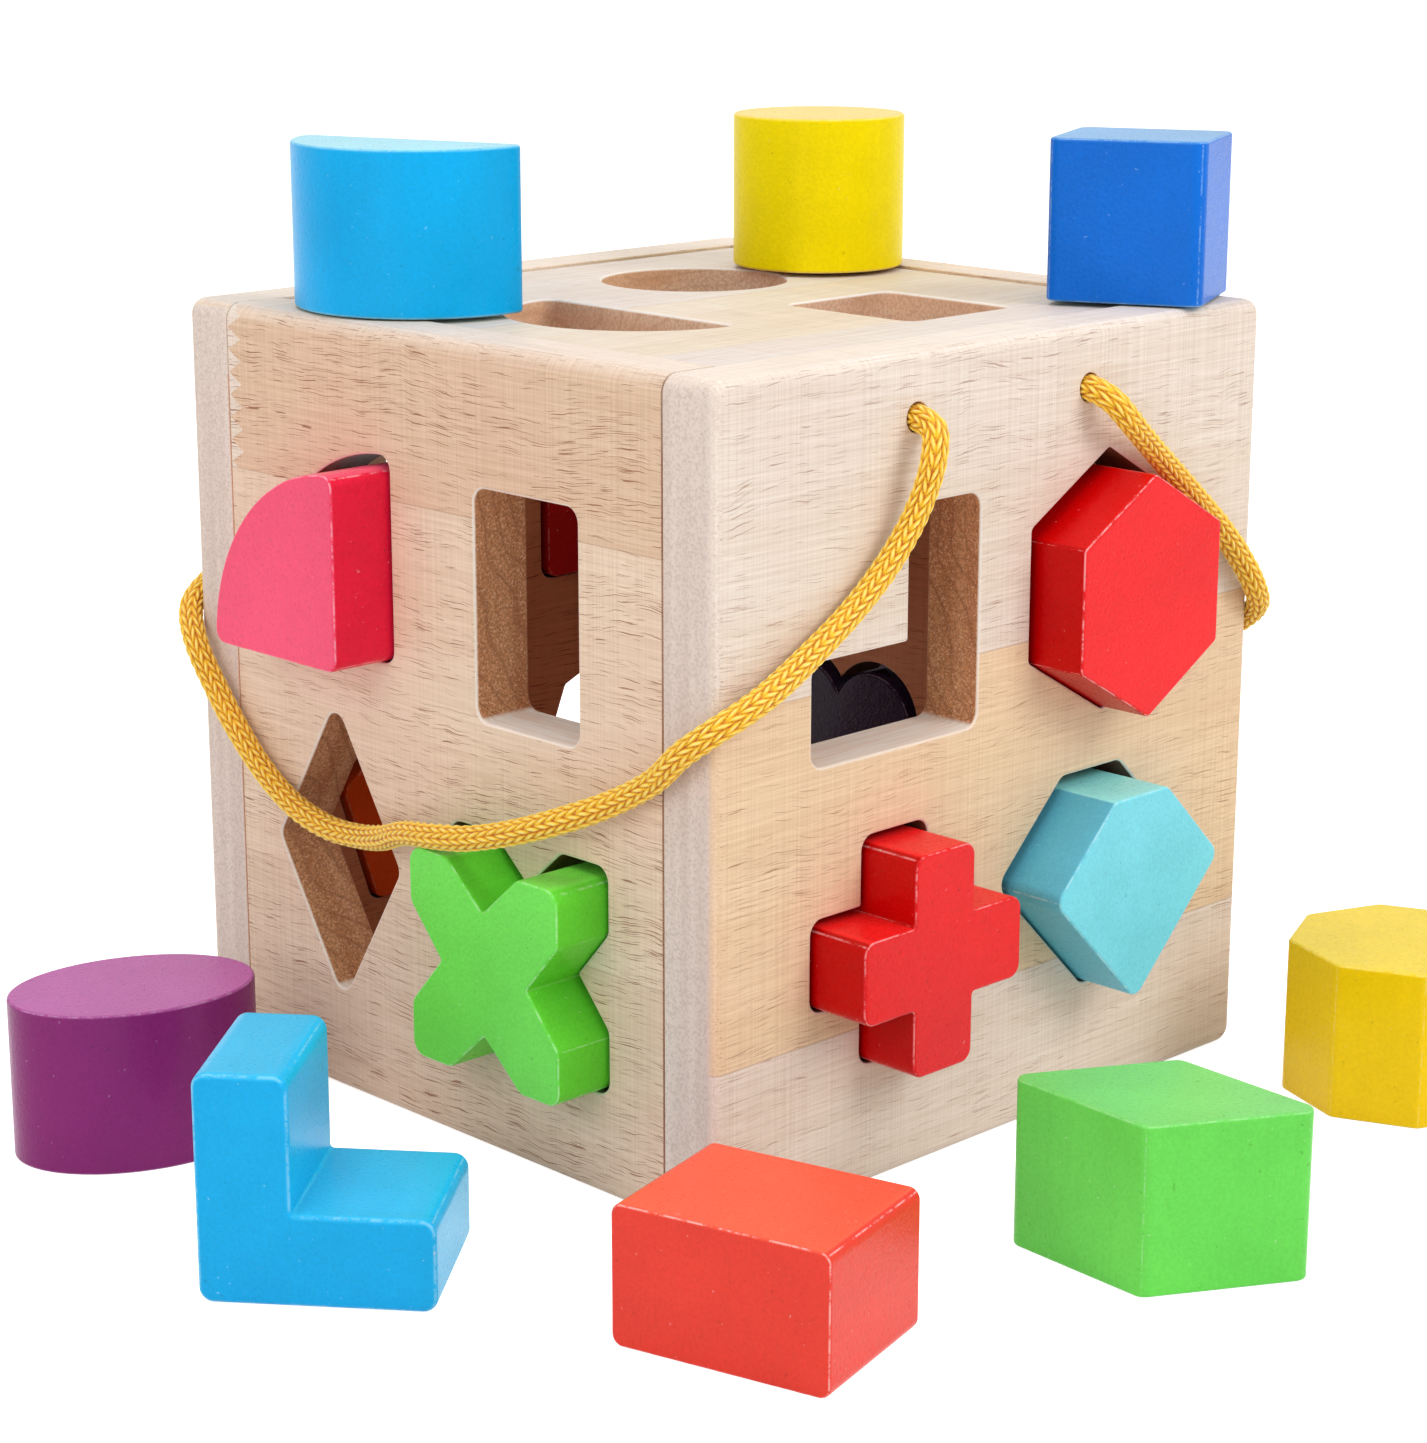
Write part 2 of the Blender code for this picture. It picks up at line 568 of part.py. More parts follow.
near_corner = Vector((-68.25, -67.25, 0)) * mm
for side, route in CORD_ROUTES.items():
    points, length = smooth_route([Vector(place) * mm + near_corner for place in route])
    tube("cord_" + side, points, CORD / 2, CORD_GOLD)
    print(f"cord_{side}: {length * 1000:.0f} mm, {len(points)} points")
    for end, facing in (("front", -1), ("back", 1)):
        # the knot that stops the cord's end, in its pocket inside the wall
        depth = POCKET_DEPTH - 2 * SEAM
        bpy.ops.mesh.primitive_uv_sphere_add(segments=16, ring_count=8, radius=1)
        knot = placed(bpy.context.object, f"knot_{end}_{side}", parts)
        for vertex in knot.data.vertices:
            vertex.co.x *= POCKET / 2 - KNOT_PLAY
            vertex.co.y *= depth / 2
            vertex.co.z *= POCKET / 2 - KNOT_PLAY
        knot.data.shade_smooth()
        knot.data.materials.append(material(knot.name, CORD_GOLD, 0.7))
        pocket_floor = BOX_DEPTH / 2 - BOARD + POCKET_DEPTH
        knot.location = (CORD_COLUMNS[side], facing * (pocket_floor - SEAM - depth / 2),
                         BOX_HEIGHT - CORD_HOLE_DROP)
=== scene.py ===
from math import acos, atan2, cos, hypot, pi, radians, sin, tan

import bmesh
import bpy
import numpy as np
from mathutils import Matrix, Vector
from mathutils.geometry import tessellate_polygon


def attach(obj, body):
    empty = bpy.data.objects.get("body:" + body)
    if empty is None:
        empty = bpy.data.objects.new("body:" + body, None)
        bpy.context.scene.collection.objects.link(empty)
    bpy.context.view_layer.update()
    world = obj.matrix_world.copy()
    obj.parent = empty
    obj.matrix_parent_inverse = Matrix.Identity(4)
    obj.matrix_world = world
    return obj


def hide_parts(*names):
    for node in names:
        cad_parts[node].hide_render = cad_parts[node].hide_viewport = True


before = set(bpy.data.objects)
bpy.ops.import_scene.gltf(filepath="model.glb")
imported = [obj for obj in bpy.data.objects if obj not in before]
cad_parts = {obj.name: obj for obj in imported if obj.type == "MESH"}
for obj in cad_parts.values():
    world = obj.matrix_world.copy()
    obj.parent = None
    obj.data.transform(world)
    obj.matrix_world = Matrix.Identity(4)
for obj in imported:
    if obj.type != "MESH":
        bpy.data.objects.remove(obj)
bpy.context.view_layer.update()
mm = 0.001


def linear(*screen):  # screen colour 0..255 to the shader's linear values
    return tuple(c / 255 / 12.92 if c <= 10 else ((c / 255 + 0.055) / 1.055) ** 2.4 for c in screen) + (1.0,)


# camera, at the place worked out from the box's edges
camera = {
    "place": (-0.41717, -0.42358, 0.21979),
    "right": (0.714748, -0.699382, 0.000447),
    "down": (-0.179283, -0.183840, -0.966468),
    "forward": (0.676013, 0.690701, -0.256786),
    "lens": 83.31,
}
lens = bpy.data.cameras.new("camera")
lens.lens, lens.sensor_width, lens.sensor_fit = camera["lens"], 36.0, "AUTO"
lens.clip_start, lens.clip_end = 0.01, 20.0
eye = bpy.data.objects.new("camera", lens)
axes = [Vector(camera["right"]), -Vector(camera["down"]), -Vector(camera["forward"])]
turn = Matrix([[axes[c][r] for c in range(3)] for r in range(3)]).to_4x4()
eye.matrix_world = Matrix.Translation(camera["place"]) @ turn
bpy.context.scene.collection.objects.link(eye)
bpy.context.scene.camera = eye
print("camera placed")


# shader helpers

class Wire:  # a socket that takes part in sums
    def __init__(self, shader, socket):
        self.shader, self.socket = shader, socket

    def maths(self, operation, *values, clamp=False):
        return self.shader.node("Math", {"operation": operation, "use_clamp": clamp}, dict(enumerate(values)))

    def __add__(self, other): return self.maths("ADD", self, other)
    def __radd__(self, other): return self.maths("ADD", other, self)
    def __sub__(self, other): return self.maths("SUBTRACT", self, other)
    def __rsub__(self, other): return self.maths("SUBTRACT", other, self)
    def __mul__(self, other): return self.maths("MULTIPLY", self, other)
    def __rmul__(self, other): return self.maths("MULTIPLY", other, self)
    def __truediv__(self, other): return self.maths("DIVIDE", self, other)
    def over(self, edge): return self.maths("GREATER_THAN", self, edge)
    def most(self, other): return self.maths("MAXIMUM", self, other)
    def size(self): return self.maths("ABSOLUTE", self)
    def swing(self, reach): return self.maths("PINGPONG", self, reach)
    def held(self): return self.maths("ADD", self, 0.0, clamp=True)

    def between(self, low, high, start=0.0, end=1.0):  # smooth step from low to high
        return self.shader.node("MapRange", {"interpolation_type": "SMOOTHSTEP", "clamp": True},
                                {0: self, 1: low, 2: high, 3: start, 4: end})


class Shader:  # one material's nodes
    def __init__(self, name):
        self.material = bpy.data.materials.new(name)
        self.material.use_nodes = True
        self.tree = self.material.node_tree
        self.surface = self.tree.nodes["Principled BSDF"]

    def node(self, kind, settings=None, sockets=None, out=0):
        made = self.tree.nodes.new("ShaderNode" + kind)
        for name, value in (settings or {}).items():
            if name == "stops":
                while len(made.color_ramp.elements) < len(value):
                    made.color_ramp.elements.new(0.5)
                for element, (place, colour) in zip(made.color_ramp.elements, value):
                    element.position, element.color = place, colour
            else:
                setattr(made, name, value)
        for name, value in (sockets or {}).items():
            if isinstance(value, Wire):
                self.tree.links.new(value.socket, made.inputs[name])
            else:
                made.inputs[name].default_value = value
        return Wire(self, made.outputs[out])

    def attribute(self, name, out="Fac"):
        return self.node("Attribute", {"attribute_name": name}, out=out)

    def split(self, vector):
        return [self.node("SeparateXYZ", {}, {0: vector}, out=i) for i in range(3)]

    def joined(self, x, y, z):
        return self.node("CombineXYZ", {}, {0: x, 1: y, 2: z})

    def noise(self, vector, scale=1.0, detail=3.0, rough=0.5, stretch=None):
        if stretch:
            vector = self.node("VectorMath", {"operation": "MULTIPLY"}, {0: vector, 1: stretch})
        return self.node("TexNoise", {}, {"Vector": vector, "Scale": scale, "Detail": detail, "Roughness": rough})

    def blend(self, factor, first, second, kind="MIX"):
        return self.node("Mix", {"data_type": "RGBA", "blend_type": kind},
                         {0: factor, 6: first, 7: second}, out=2)

    def bump(self, height, strength, distance):
        return self.node("Bump", {}, {"Height": height, "Strength": strength, "Distance": distance})

    def feed(self, **values):
        names = {"colour": "Base Color", "rough": "Roughness", "normal": "Normal", "coat": "Coat Weight",
                 "coatRough": "Coat Roughness", "specular": "Specular IOR Level", "sheen": "Sheen Weight"}
        for key, value in values.items():
            socket = self.surface.inputs[names[key]]
            if isinstance(value, Wire):
                self.tree.links.new(value.socket, socket)
            else:
                socket.default_value = value
        return self.material


# outlines: each is a closed loop of points, with its outward normals and a crease that is 1 mid-corner

def arcRun(centre, radius, start, end, count, inward=False):  # centre + radius times (cos, sin) of the angle
    angle = np.linspace(start, end, count)
    normals = np.stack([np.cos(angle), np.sin(angle)], 1)
    crease = np.sin(np.linspace(0, pi, count)) if count <= 12 else np.zeros(count)
    return np.asarray(centre) + radius * normals, -normals if inward else normals, crease


def straightRun(first, last, normal):  # the two points that hold a straight side flat
    return np.array([first, last]), np.array([normal, normal], float), np.zeros(2)


def stitched(runs):
    return tuple(np.concatenate([run[i] for run in runs]) for i in range(3))


def polygonLoop(corners, radius, steps=9, hold=0.2 * mm, inner=0.6 * mm):
    # every corner becomes an arc that touches both of its sides, with a point just before and after it
    corners = [Vector(c) for c in corners]
    runs = []
    for i, corner in enumerate(corners):
        back, ahead = corners[i - 1] - corner, corners[(i + 1) % len(corners)] - corner
        inSide, outSide = back.normalized(), ahead.normalized()
        bend = pi - back.angle(ahead)
        convex = -(inSide.x * outSide.y - inSide.y * outSide.x) > 0
        run = min((radius if convex else min(radius, inner)) * tan(bend / 2), 0.42 * min(back.length, ahead.length))
        r = run / tan(bend / 2)
        middle = corner + (inSide + outSide).normalized() * hypot(run, r)
        first, last = corner + inSide * run, corner + outSide * run
        start = atan2(first.y - middle.y, first.x - middle.x)
        swing = (atan2(last.y - middle.y, last.x - middle.x) - start + pi) % (2 * pi) - pi
        points, normals, crease = arcRun((middle.x, middle.y), r, start, start + swing, steps, not convex)
        before = np.array(first + inSide * hold)[None]
        after = np.array(last + outSide * hold)[None]
        runs.append((np.concatenate([before, points, after]),
                     np.concatenate([normals[:1], normals, normals[-1:]]), np.pad(crease, 1)))
    return stitched(runs)


def grown(corners, distance):  # every side moved out by the distance, with mitred corners
    result = []
    for i, here in enumerate(corners):
        before, after = corners[i - 1], corners[(i + 1) % len(corners)]
        one = Vector((here[1] - before[1], before[0] - here[0])).normalized()
        two = Vector((after[1] - here[1], here[0] - after[0])).normalized()
        shift = (one + two) * (distance / (1 + one.dot(two)))
        result.append((here[0] + shift.x, here[1] + shift.y))
    return result


def regular(count, radius, start=0.0):
    angles = [start + 2 * pi * i / count for i in range(count)]
    return [(radius * cos(angle), radius * sin(angle)) for angle in angles]


def mirrored(half):
    return half + [(-u, v) for u, v in reversed(half) if abs(u) > 1e-6]


def cornersOf(shape):
    s = shapes[shape]
    if "box" in s:
        u, v = s["box"][0] / 2, s["box"][1] / 2
        return [(-u, -v), (u, -v), (u, v), (-u, v)]
    if "half" in s:
        return mirrored(s["half"])
    if "regular" in s:
        return regular(*s["regular"])
    if "star" in s:
        count, outer, inner = s["star"]
        tips, dips = regular(count, outer, pi / 2), regular(count, inner, pi / 2 + pi / count)
        return [p for pair in zip(tips, dips) for p in pair]
    if "notched" in s:
        a, b, depth = s["notched"]
        quarter = [(a - depth, 0), (a, b), (a, a), (b, a)]
        turns = [(1, 0), (0, 1), (-1, 0), (0, -1)]
        return [(u * c - v * n, u * n + v * c) for c, n in turns for u, v in quarter]
    return s["corners"]


def loopOf(shape, corner, grow=0.0):
    # the outline grown by a clearance, with its corners rounded
    s, r = shapes[shape], corner
    if "circle" in s:
        return arcRun((0, 0), s["circle"] + grow, 0, 2 * pi * 159 / 160, 160)
    if "ellipse" in s:
        a, b = s["ellipse"]
        t = np.linspace(0, 2 * pi, 160, endpoint=False)
        normals = np.stack([b * np.cos(t), a * np.sin(t)], 1)
        normals /= np.linalg.norm(normals, axis=1)[:, None]
        return np.stack([a * np.cos(t), b * np.sin(t)], 1) + normals * grow, normals, t * 0
    if "quarter" in s:  # a corner and the arc round it
        big, low = s["quarter"] + grow, -grow
        reach = ((big - r) ** 2 - (low + r) ** 2) ** 0.5
        lean = atan2(low + r, reach)
        return stitched([
            arcRun((low + r, low + r), r, -pi, -pi / 2, 9),
            straightRun((low + 2 * r, low), (reach - r, low), (0, -1)),
            arcRun((reach, low + r), r, -pi / 2, lean, 9),
            arcRun((0, 0), big, lean, pi / 2 - lean, 60),
            arcRun((low + r, reach), r, pi / 2 - lean, pi, 9),
            straightRun((low, reach - r), (low, low + 2 * r), (-1, 0))])
    if "segment" in s:  # an arc closed by a straight side at u = -chord
        big, edge = s["segment"][0] + grow, -s["segment"][1] + grow
        reach = ((big - r) ** 2 - (edge - r) ** 2) ** 0.5
        lean = atan2(reach, edge - r)
        return stitched([
            arcRun((0, 0), big, lean, 2 * pi - lean, 110),
            arcRun((edge - r, -reach), r, -lean, 0, 9),
            straightRun((edge, -reach + r), (edge, reach - r), (1, 0)),
            arcRun((edge - r, reach), r, 0, lean, 9)])
    if "heart" in s:  # two lobes, straight sides that touch them, and a tip
        lobe, spread, tip = s["heart"]
        lobe, tip = lobe + grow, tip + grow * 1.4
        touch = atan2(-tip, -spread) + acos(lobe / hypot(spread, tip))
        notch = acos(-spread / lobe)
        right = arcRun((spread, 0), lobe, touch, notch, 46)
        left = (right[0][::-1] * (-1, 1), right[1][::-1] * (-1, 1), right[2])
        side = touch - pi / 2
        foot = arcRun((0, -tip + r / cos(touch)), r, -pi - touch, touch, 9)
        return stitched([foot, right, left])
    return polygonLoop(grown(cornersOf(shape), grow) if grow else cornersOf(shape), r)


shapes = {
    "rectangle": {"box": (23.1 * mm, 37.4 * mm), "corner": 1.9 * mm},
    "quarter_round": {"quarter": 34.0 * mm},
    "diamond": {"half": [(0, -25.7 * mm), (15.7 * mm, 0), (0, 25.7 * mm)]},
    "notched_square": {"notched": (18.6 * mm, 8.85 * mm, 7.8 * mm), "corner": 2.9 * mm},
    "ell": {"corners": [(-18.8 * mm, -18.9 * mm), (18.8 * mm, -18.9 * mm), (18.8 * mm, 18.9 * mm),
                        (3.7 * mm, 18.9 * mm), (3.7 * mm, -3.6 * mm), (-18.8 * mm, -3.6 * mm)], "ease": 1.0 * mm},
    "hexagon": {"regular": (6, 21.4 * mm, pi / 6), "corner": 1.3 * mm, "clearance": 1.6 * mm,
                "slope": radians(30)},
    "cross": {"half": [(7.2 * mm, -19.15 * mm), (7.2 * mm, -7.2 * mm), (19.15 * mm, -7.2 * mm),
                       (19.15 * mm, 7.2 * mm), (7.2 * mm, 7.2 * mm), (7.2 * mm, 19.15 * mm)],
              "clearance": 0.8 * mm},
    "cut_square": {"half": [(0, -22.5 * mm), (22.5 * mm, 0), (7.3 * mm, 15.2 * mm)],
                   "clearance": 1.2 * mm, "slope": radians(45)},
    "circle": {"circle": 16.2 * mm},
    "square": {"box": (24.4 * mm, 28.0 * mm)},
    "half_round": {"segment": (22.3 * mm, 1.6 * mm), "clearance": 1.5 * mm},
    "ellipse": {"ellipse": (21.5 * mm, 15.2 * mm)},
    "octagon": {"regular": (8, 20.5 * mm)},
    "right_triangle": {"corners": [(0, 0), (35.0 * mm, 0), (0, 33.0 * mm)]},
    "pentagon": {"regular": (5, 20.5 * mm, pi / 2)},
    "heart": {"heart": (10.4 * mm, 9.2 * mm, 20.5 * mm), "slope": radians(48)},
    "star": {"star": (5, 21.0 * mm, 9.8 * mm)},
    "triangle": {"half": [(18.5 * mm, -16.02 * mm), (0, 16.02 * mm)]},
    "trapezoid": {"half": [(19.0 * mm, -15.0 * mm), (11.0 * mm, 15.0 * mm)]},
}
clearance = {name: s.get("clearance", 1.1 * mm) for name, s in shapes.items()}


# solids: profiles carried round outlines

def rimProfile(low, high, lowRound, highRound, steps=7, hold=0.15 * mm):
    # inset from the outline, height, and how far round the edge: up one side of a plate with rounded rims
    rows = []
    for radius, level, way in ((lowRound, low, 1), (highRound, high, -1)):
        t = np.linspace(0, pi / 2, steps)
        inset = radius * (1 - np.sin(t))
        height = level + way * radius * (1 - np.cos(t))
        rim = np.sin(2 * t)
        part = np.stack([np.concatenate([[radius + hold], inset, [0.0]]),
                         np.concatenate([[level], height, [level + way * (radius + hold)]]),
                         np.concatenate([[0], rim, [0]]),
                         np.concatenate([[0], (t / (pi / 2)), [1]])], 1)
        rows.append(part if way > 0 else part[::-1])
    return np.concatenate(rows)


def plate(name, outer, holes, profile, turnTo, place, holeProfiles=None, filled=()):
    # the profile goes round the outer loop, and its own or the same one round each hole; the two faces are filled
    vertices, quads, caps, start = [], [], [[], []], 0
    kept = {key: [] for key in ("rim", "side", "hole", "crease", "end", "up", "filled")}
    for index, (points, pull, crease) in enumerate([outer] + holes):
        own = holeProfiles.get(index - 1, holeProfiles[None]) if index else profile
        sign = -1 if index == 0 else 1
        rows, count = len(own), len(points)
        flat = points[None] + sign * pull[None] * own[:, 0, None, None]
        grid = np.concatenate([flat, np.broadcast_to(own[:, 1, None, None], (rows, count, 1))], 2)
        vertices.append(grid.reshape(-1, 3))
        k, j = np.meshgrid(np.arange(rows - 1), np.arange(count), indexing="ij")
        nextJ = (j + 1) % count
        corners = [k * count + j, k * count + nextJ, (k + 1) * count + nextJ, (k + 1) * count + j]
        quads.append(start + np.stack(corners, -1).reshape(-1, 4))
        kept["rim"].append(np.repeat(own[:, 2], count))
        kept["side"].append(np.repeat(own[:, 3], count))
        kept["hole"].append(np.full(rows * count, float(index > 0)))
        kept["crease"].append(np.tile(crease, rows))
        kept["end"].append(np.tile(np.abs(pull[:, 0]), rows))
        kept["up"].append(np.tile(-pull[:, 1], rows))
        kept["filled"].append(np.full(rows * count, float(index - 1 in filled)))
        caps[0].append((start, grid[0]))
        caps[1].append((start + (rows - 1) * count, grid[-1]))
        start += rows * count
    faces = np.concatenate(quads).tolist()
    for loops in caps:
        order = np.concatenate([first + np.arange(len(ring)) for first, ring in loops])
        for triangle in tessellate_polygon([[Vector(p) for p in ring] for first, ring in loops]):
            faces.append([int(order[i]) for i in triangle])
    local = np.concatenate(vertices)
    basis = np.array(turnTo)
    world = local @ basis.T + np.array(place)
    values = {key: np.concatenate(value) for key, value in kept.items()}
    return finished(name, world, faces, values, local)


def finished(name, world, faces, values, local=None, sharp=40):
    mesh = bpy.data.meshes.new(name)
    mesh.from_pydata(np.asarray(world, float).tolist(), [], faces)
    edit = bmesh.new()
    edit.from_mesh(mesh)
    bmesh.ops.recalc_face_normals(edit, faces=edit.faces)
    edit.to_mesh(mesh)
    edit.free()
    for key, value in values.items():
        mesh.attributes.new(key, "FLOAT", "POINT").data.foreach_set("value", np.asarray(value, np.float32))
    if local is not None:
        own = mesh.attributes.new("local", "FLOAT_VECTOR", "POINT")
        own.data.foreach_set("vector", np.asarray(local, np.float32).ravel())
    mesh.shade_smooth()
    if sharp:
        mesh.set_sharp_from_angle(angle=radians(sharp))
    made = bpy.data.objects.new(name, mesh)
    bpy.context.scene.collection.objects.link(made)
    return made


def dress(made, material, body, nodes):
    made.data.materials.append(material)
    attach(made, body)
    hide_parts(*nodes)
    return made


upright = {"front": ((1, 0, 0), (0, 0, -1), (0, 1, 0)), "side": ((0, 0, 1), (1, 0, 0), (0, 1, 0)),
           "flat": ((1, 0, 0), (0, 1, 0), (0, 0, 1))}  # rows: what local u, v, w give to world x, y, z


# wood

def woodMaterial(name, look):
    s = Shader(name)
    local = s.attribute("local", "Vector")
    u, v, w = s.split(local)
    hole, side, rim, end, up = (s.attribute(key) for key in ("hole", "side", "rim", "end", "up"))
    if look["finger"]:  # a zigzag joint: teeth in u that swing with v, on the upper plank's far end
        tooth = (v / look["finger"]["pitch"]).swing(0.5) * look["finger"]["reach"]
        joined = (u + tooth).over(look["finger"]["start"]) * v.over(look["planks"][-1])
    else:
        joined = v * 0.0
    plank = sum([v.over(edge) * (i + 1) for i, edge in enumerate(look["planks"])], joined * 3.0)
    spot = s.joined(u + plank * 0.37, v + plank * 0.61, w + look["seed"])
    bands = s.noise(spot, 1.0, 3, 0.5, (7, 60, 50))  # slow changes of tone along the grain
    cloud = s.noise(spot, 24.0, 2, 0.5)
    colour = s.blend(((bands - 0.5) * 2.0 + 0.5).held(), look["pale"], look["warm"])
    colour = s.blend(cloud.between(0.42, 0.68) * 0.45, colour, look["blush"])
    tone = look["tones"][0]
    for edge, shade in zip(look["planks"], look["tones"][1:]):
        tone = s.blend(v.over(edge), tone, shade)
    tone = s.blend(joined, tone, (1, 1, 1, 1))
    colour = s.blend(1.0, colour, tone, "MULTIPLY")
    crown = (0 - up).over(0.9) * side * (1 - hole)  # the walls' top edges
    colour = s.blend(crown * 0.75, colour, look["crown"])
    seams = sum([(1 - (v - edge).size().between(0.0, 0.00022)) for edge in look["planks"]], joined * 0.0)
    colour = s.blend((seams * look["seams"]).held(), colour, look["brown"])
    # fibres along the grain and the faint marks of the saw across it
    along = s.noise(spot, 1.0, 2, 0.6, (40, 2300, 2300))
    across = s.noise(spot, 1.0, 1, 0.5, (2900, 16, 60))
    colour = s.blend(((along - 0.5) * 2.4 + 0.5).held() * look["fibres"], colour, look["shadow"], "MULTIPLY")
    colour = s.blend(((across - 0.5) * 2.4 + 0.5).held() * look["fibres"] * 0.6, colour, look["shadow"], "MULTIPLY")
    # pores: short dark dashes in clusters, wandering a little up and down
    wander = s.noise(spot, 1.0, 1, 0.5, (32, 40, 40)) * 0.006 + s.noise(spot, 1.0, 2, 0.5, (190, 90, 90)) * 0.0012
    sway = s.joined(u, v + wander, w + look["seed"])
    dash = s.noise(sway, 1.0, 1, 0.4, (135, 5200, 5200))
    cluster = s.noise(sway, 1.0, 2, 0.5, (24, 150, 150))
    pore = (dash + (cluster - 0.5) * 0.26).between(look["poreEdge"], look["poreEdge"] + 0.035)
    colour = s.blend((pore * (1 - side * 0.7) * look["pores"]).held(), colour, look["brown"])
    # end grain, and the saw-cut walls of the holes in a brown that is partly painted shade, with a painted highlight
    # on their eased edge
    speck = s.noise(local, 1900.0, 2, 0.6)
    stain = s.noise(local, 1.0, 2, 0.5, (60, 9, 260))
    ends = s.blend(((stain - 0.5) * 2.0 + 0.5).held(), look["endPale"], look["endDark"])
    ends = s.blend(speck.between(0.42, 0.66) * 0.4, ends, look["endSpeck"])
    face = (side * end.between(0.5, 0.9)).between(0.5, 1.0)
    colour = s.blend(face * (1 - hole), colour, ends)
    # painted shade: the holes' walls are a darker, warmer brown than the faces, partly for the shade and bounced
    # light inside them
    sawnShade = s.blend(((stain - 0.5) * 2.0 + 0.5).held(), look["sawnShadeDark"], look["sawnShadePale"])
    sawnShade = s.blend(speck.between(0.40, 0.60) * 0.5, sawnShade, look["sawnShadeDeep"])
    spark = s.noise(local, 2700.0, 1, 0.5).between(0.57, 0.66)
    sawnShade = s.blend(spark * look["sparkle"], sawnShade, look["sawnSpark"])
    streak = s.noise(spot, 1.0, 2, 0.6, (60, 700, 1500)).between(0.35, 0.65)
    sill = s.blend(streak * 0.6, look["sawnUp"], look["sillLine"])
    ring = ((w * 9 + v * 3).size() * 0.05 + u * 0.1 + v * 0.08 + s.noise(local, 45.0, 1, 0.5) * 0.012) * 900
    sawnShade = s.blend(ring.swing(1.0).between(0.72, 1.0) * 0.4, sawnShade, look["sawnShadeDeep"])
    # up-facing sills stay pale long-grain wood, while the walls that face sideways and down keep the painted shade
    sawnShade = s.blend(up.between(0.7, 0.95) * look["sill"], sawnShade, sill)
    sawnShade = s.blend(s.attribute("filled") * 0.8, sawnShade, look["gap"])  # painted shade: the walls of a hole with a block in it darkened for the gap round the block
    colour = s.blend((side * hole).between(0.55, 1.0), colour, sawnShade)
    # painted highlight: a pale line along the eased hole edges
    colour = s.blend((rim.between(0.3, 0.95) * hole * 0.5).held(), colour, look["rim"])
    if look["inward"]:  # the inner face is bare wood up to the lid
        inside = (w * look["inward"]).over(5.2 * mm) * (1 - side) * (1 - v.over(127.5 * mm))
        colour = s.blend(inside, colour, s.blend(1.0, colour, look["bare"], "MULTIPLY"))
    height = along * 0.5 + across * 0.2 - pore * 1.6 * (1 - side) + speck * (0.15 + face * 0.5)
    return s.feed(colour=colour, rough=0.52 + pore * 0.2 + (along - 0.5) * 0.1,
                  normal=s.bump(height, 0.3, 0.0002), specular=0.16)


wood = {
    "crown": linear(243, 233, 223), "pale": linear(247, 237, 227), "warm": linear(241, 226, 208),
    "blush": linear(244, 226, 214), "brown": linear(146, 88, 58), "shadow": linear(216, 200, 184),
    "endPale": linear(234, 218, 206), "endDark": linear(212, 192, 180), "endSpeck": linear(180, 160, 150),
    # the holes' walls: saw-cut end grain, their brown partly painted shade and warm bounced light
    "sawnShadeDark": linear(204, 138, 94), "sawnShadePale": linear(232, 178, 132), "sawnShadeDeep": linear(150, 92, 60),
    "sawnSpark": linear(246, 204, 164), "sparkle": 0.8,
    "sawnUp": linear(255, 250, 241), "sillLine": linear(240, 214, 190), "sill": 1.0,
    # rim is a painted highlight on the eased hole edges; gap is painted shade round a seated block
    "rim": linear(255, 250, 244), "bare": linear(238, 178, 146), "gap": linear(96, 54, 38),
    "inward": 0, "seams": 0.3, "fibres": 0.45, "pores": 0.8, "poreEdge": 0.665, "finger": None,
}
boardLooks = {
    "front": {**wood, "seed": 0.13, "planks": [28.5 * mm, 87.5 * mm], "pores": 0.55,
              "tones": [linear(250, 249, 252), linear(252, 237, 214), linear(250, 251, 253)]},
    "back": {**wood, "seed": 1.71, "planks": [44.0 * mm, 101.0 * mm],
             "tones": [linear(252, 244, 232), linear(248, 236, 222), linear(255, 250, 244)]},
    "left": {**wood, "seed": 2.39, "planks": [40.0 * mm, 111.0 * mm], "pores": 0.8, "poreEdge": 0.645,
             "tones": [linear(248, 234, 222), linear(253, 241, 228), linear(244, 224, 206)],
             "finger": {"pitch": 4.0 * mm, "reach": 6.8 * mm, "start": 55.3 * mm}},
    "right": {**wood, "seed": 3.93, "planks": [52.0 * mm, 96.0 * mm],
              "tones": [linear(252, 244, 232), linear(255, 250, 242), linear(246, 232, 216)]},
}

box = {"width": 136.5 * mm, "depth": 134.5 * mm, "height": 140.0 * mm, "board": 11.5 * mm, "seam": 0.3 * mm,
       "faceRound": 2.0 * mm, "sideRound": 3.0 * mm, "ease": 0.55 * mm, "innerEase": 0.2 * mm,
       "holeCorner": 2.6 * mm, "tightCorner": 1.2 * mm}
walls = {
    "front": {"facing": -1, "holes": {"ell": (-26.475, 95.05), "hexagon": (26.875, 95.15),
                                      "cross": (-26.275, 41.45), "cut_square": (24.275, 45.25)}},
    "back": {"facing": 1, "holes": {"ellipse": (-26.275, 95.05), "right_triangle": (6.075, 80.05),
                                    "pentagon": (-26.275, 40.95), "octagon": (26.275, 41.45)}},
    "left": {"facing": -1, "holes": {"rectangle": (-23.275, 96.45), "quarter_round": (12.375, 83.35),
                                     "notched_square": (-22.675, 38.15), "diamond": (27.975, 45.15)}},
    "right": {"facing": 1, "holes": {"star": (-24.875, 95.25), "triangle": (26.875, 95.05),
                                     "trapezoid": (-24.875, 39.75), "heart": (23.875, 49.15)}},
}
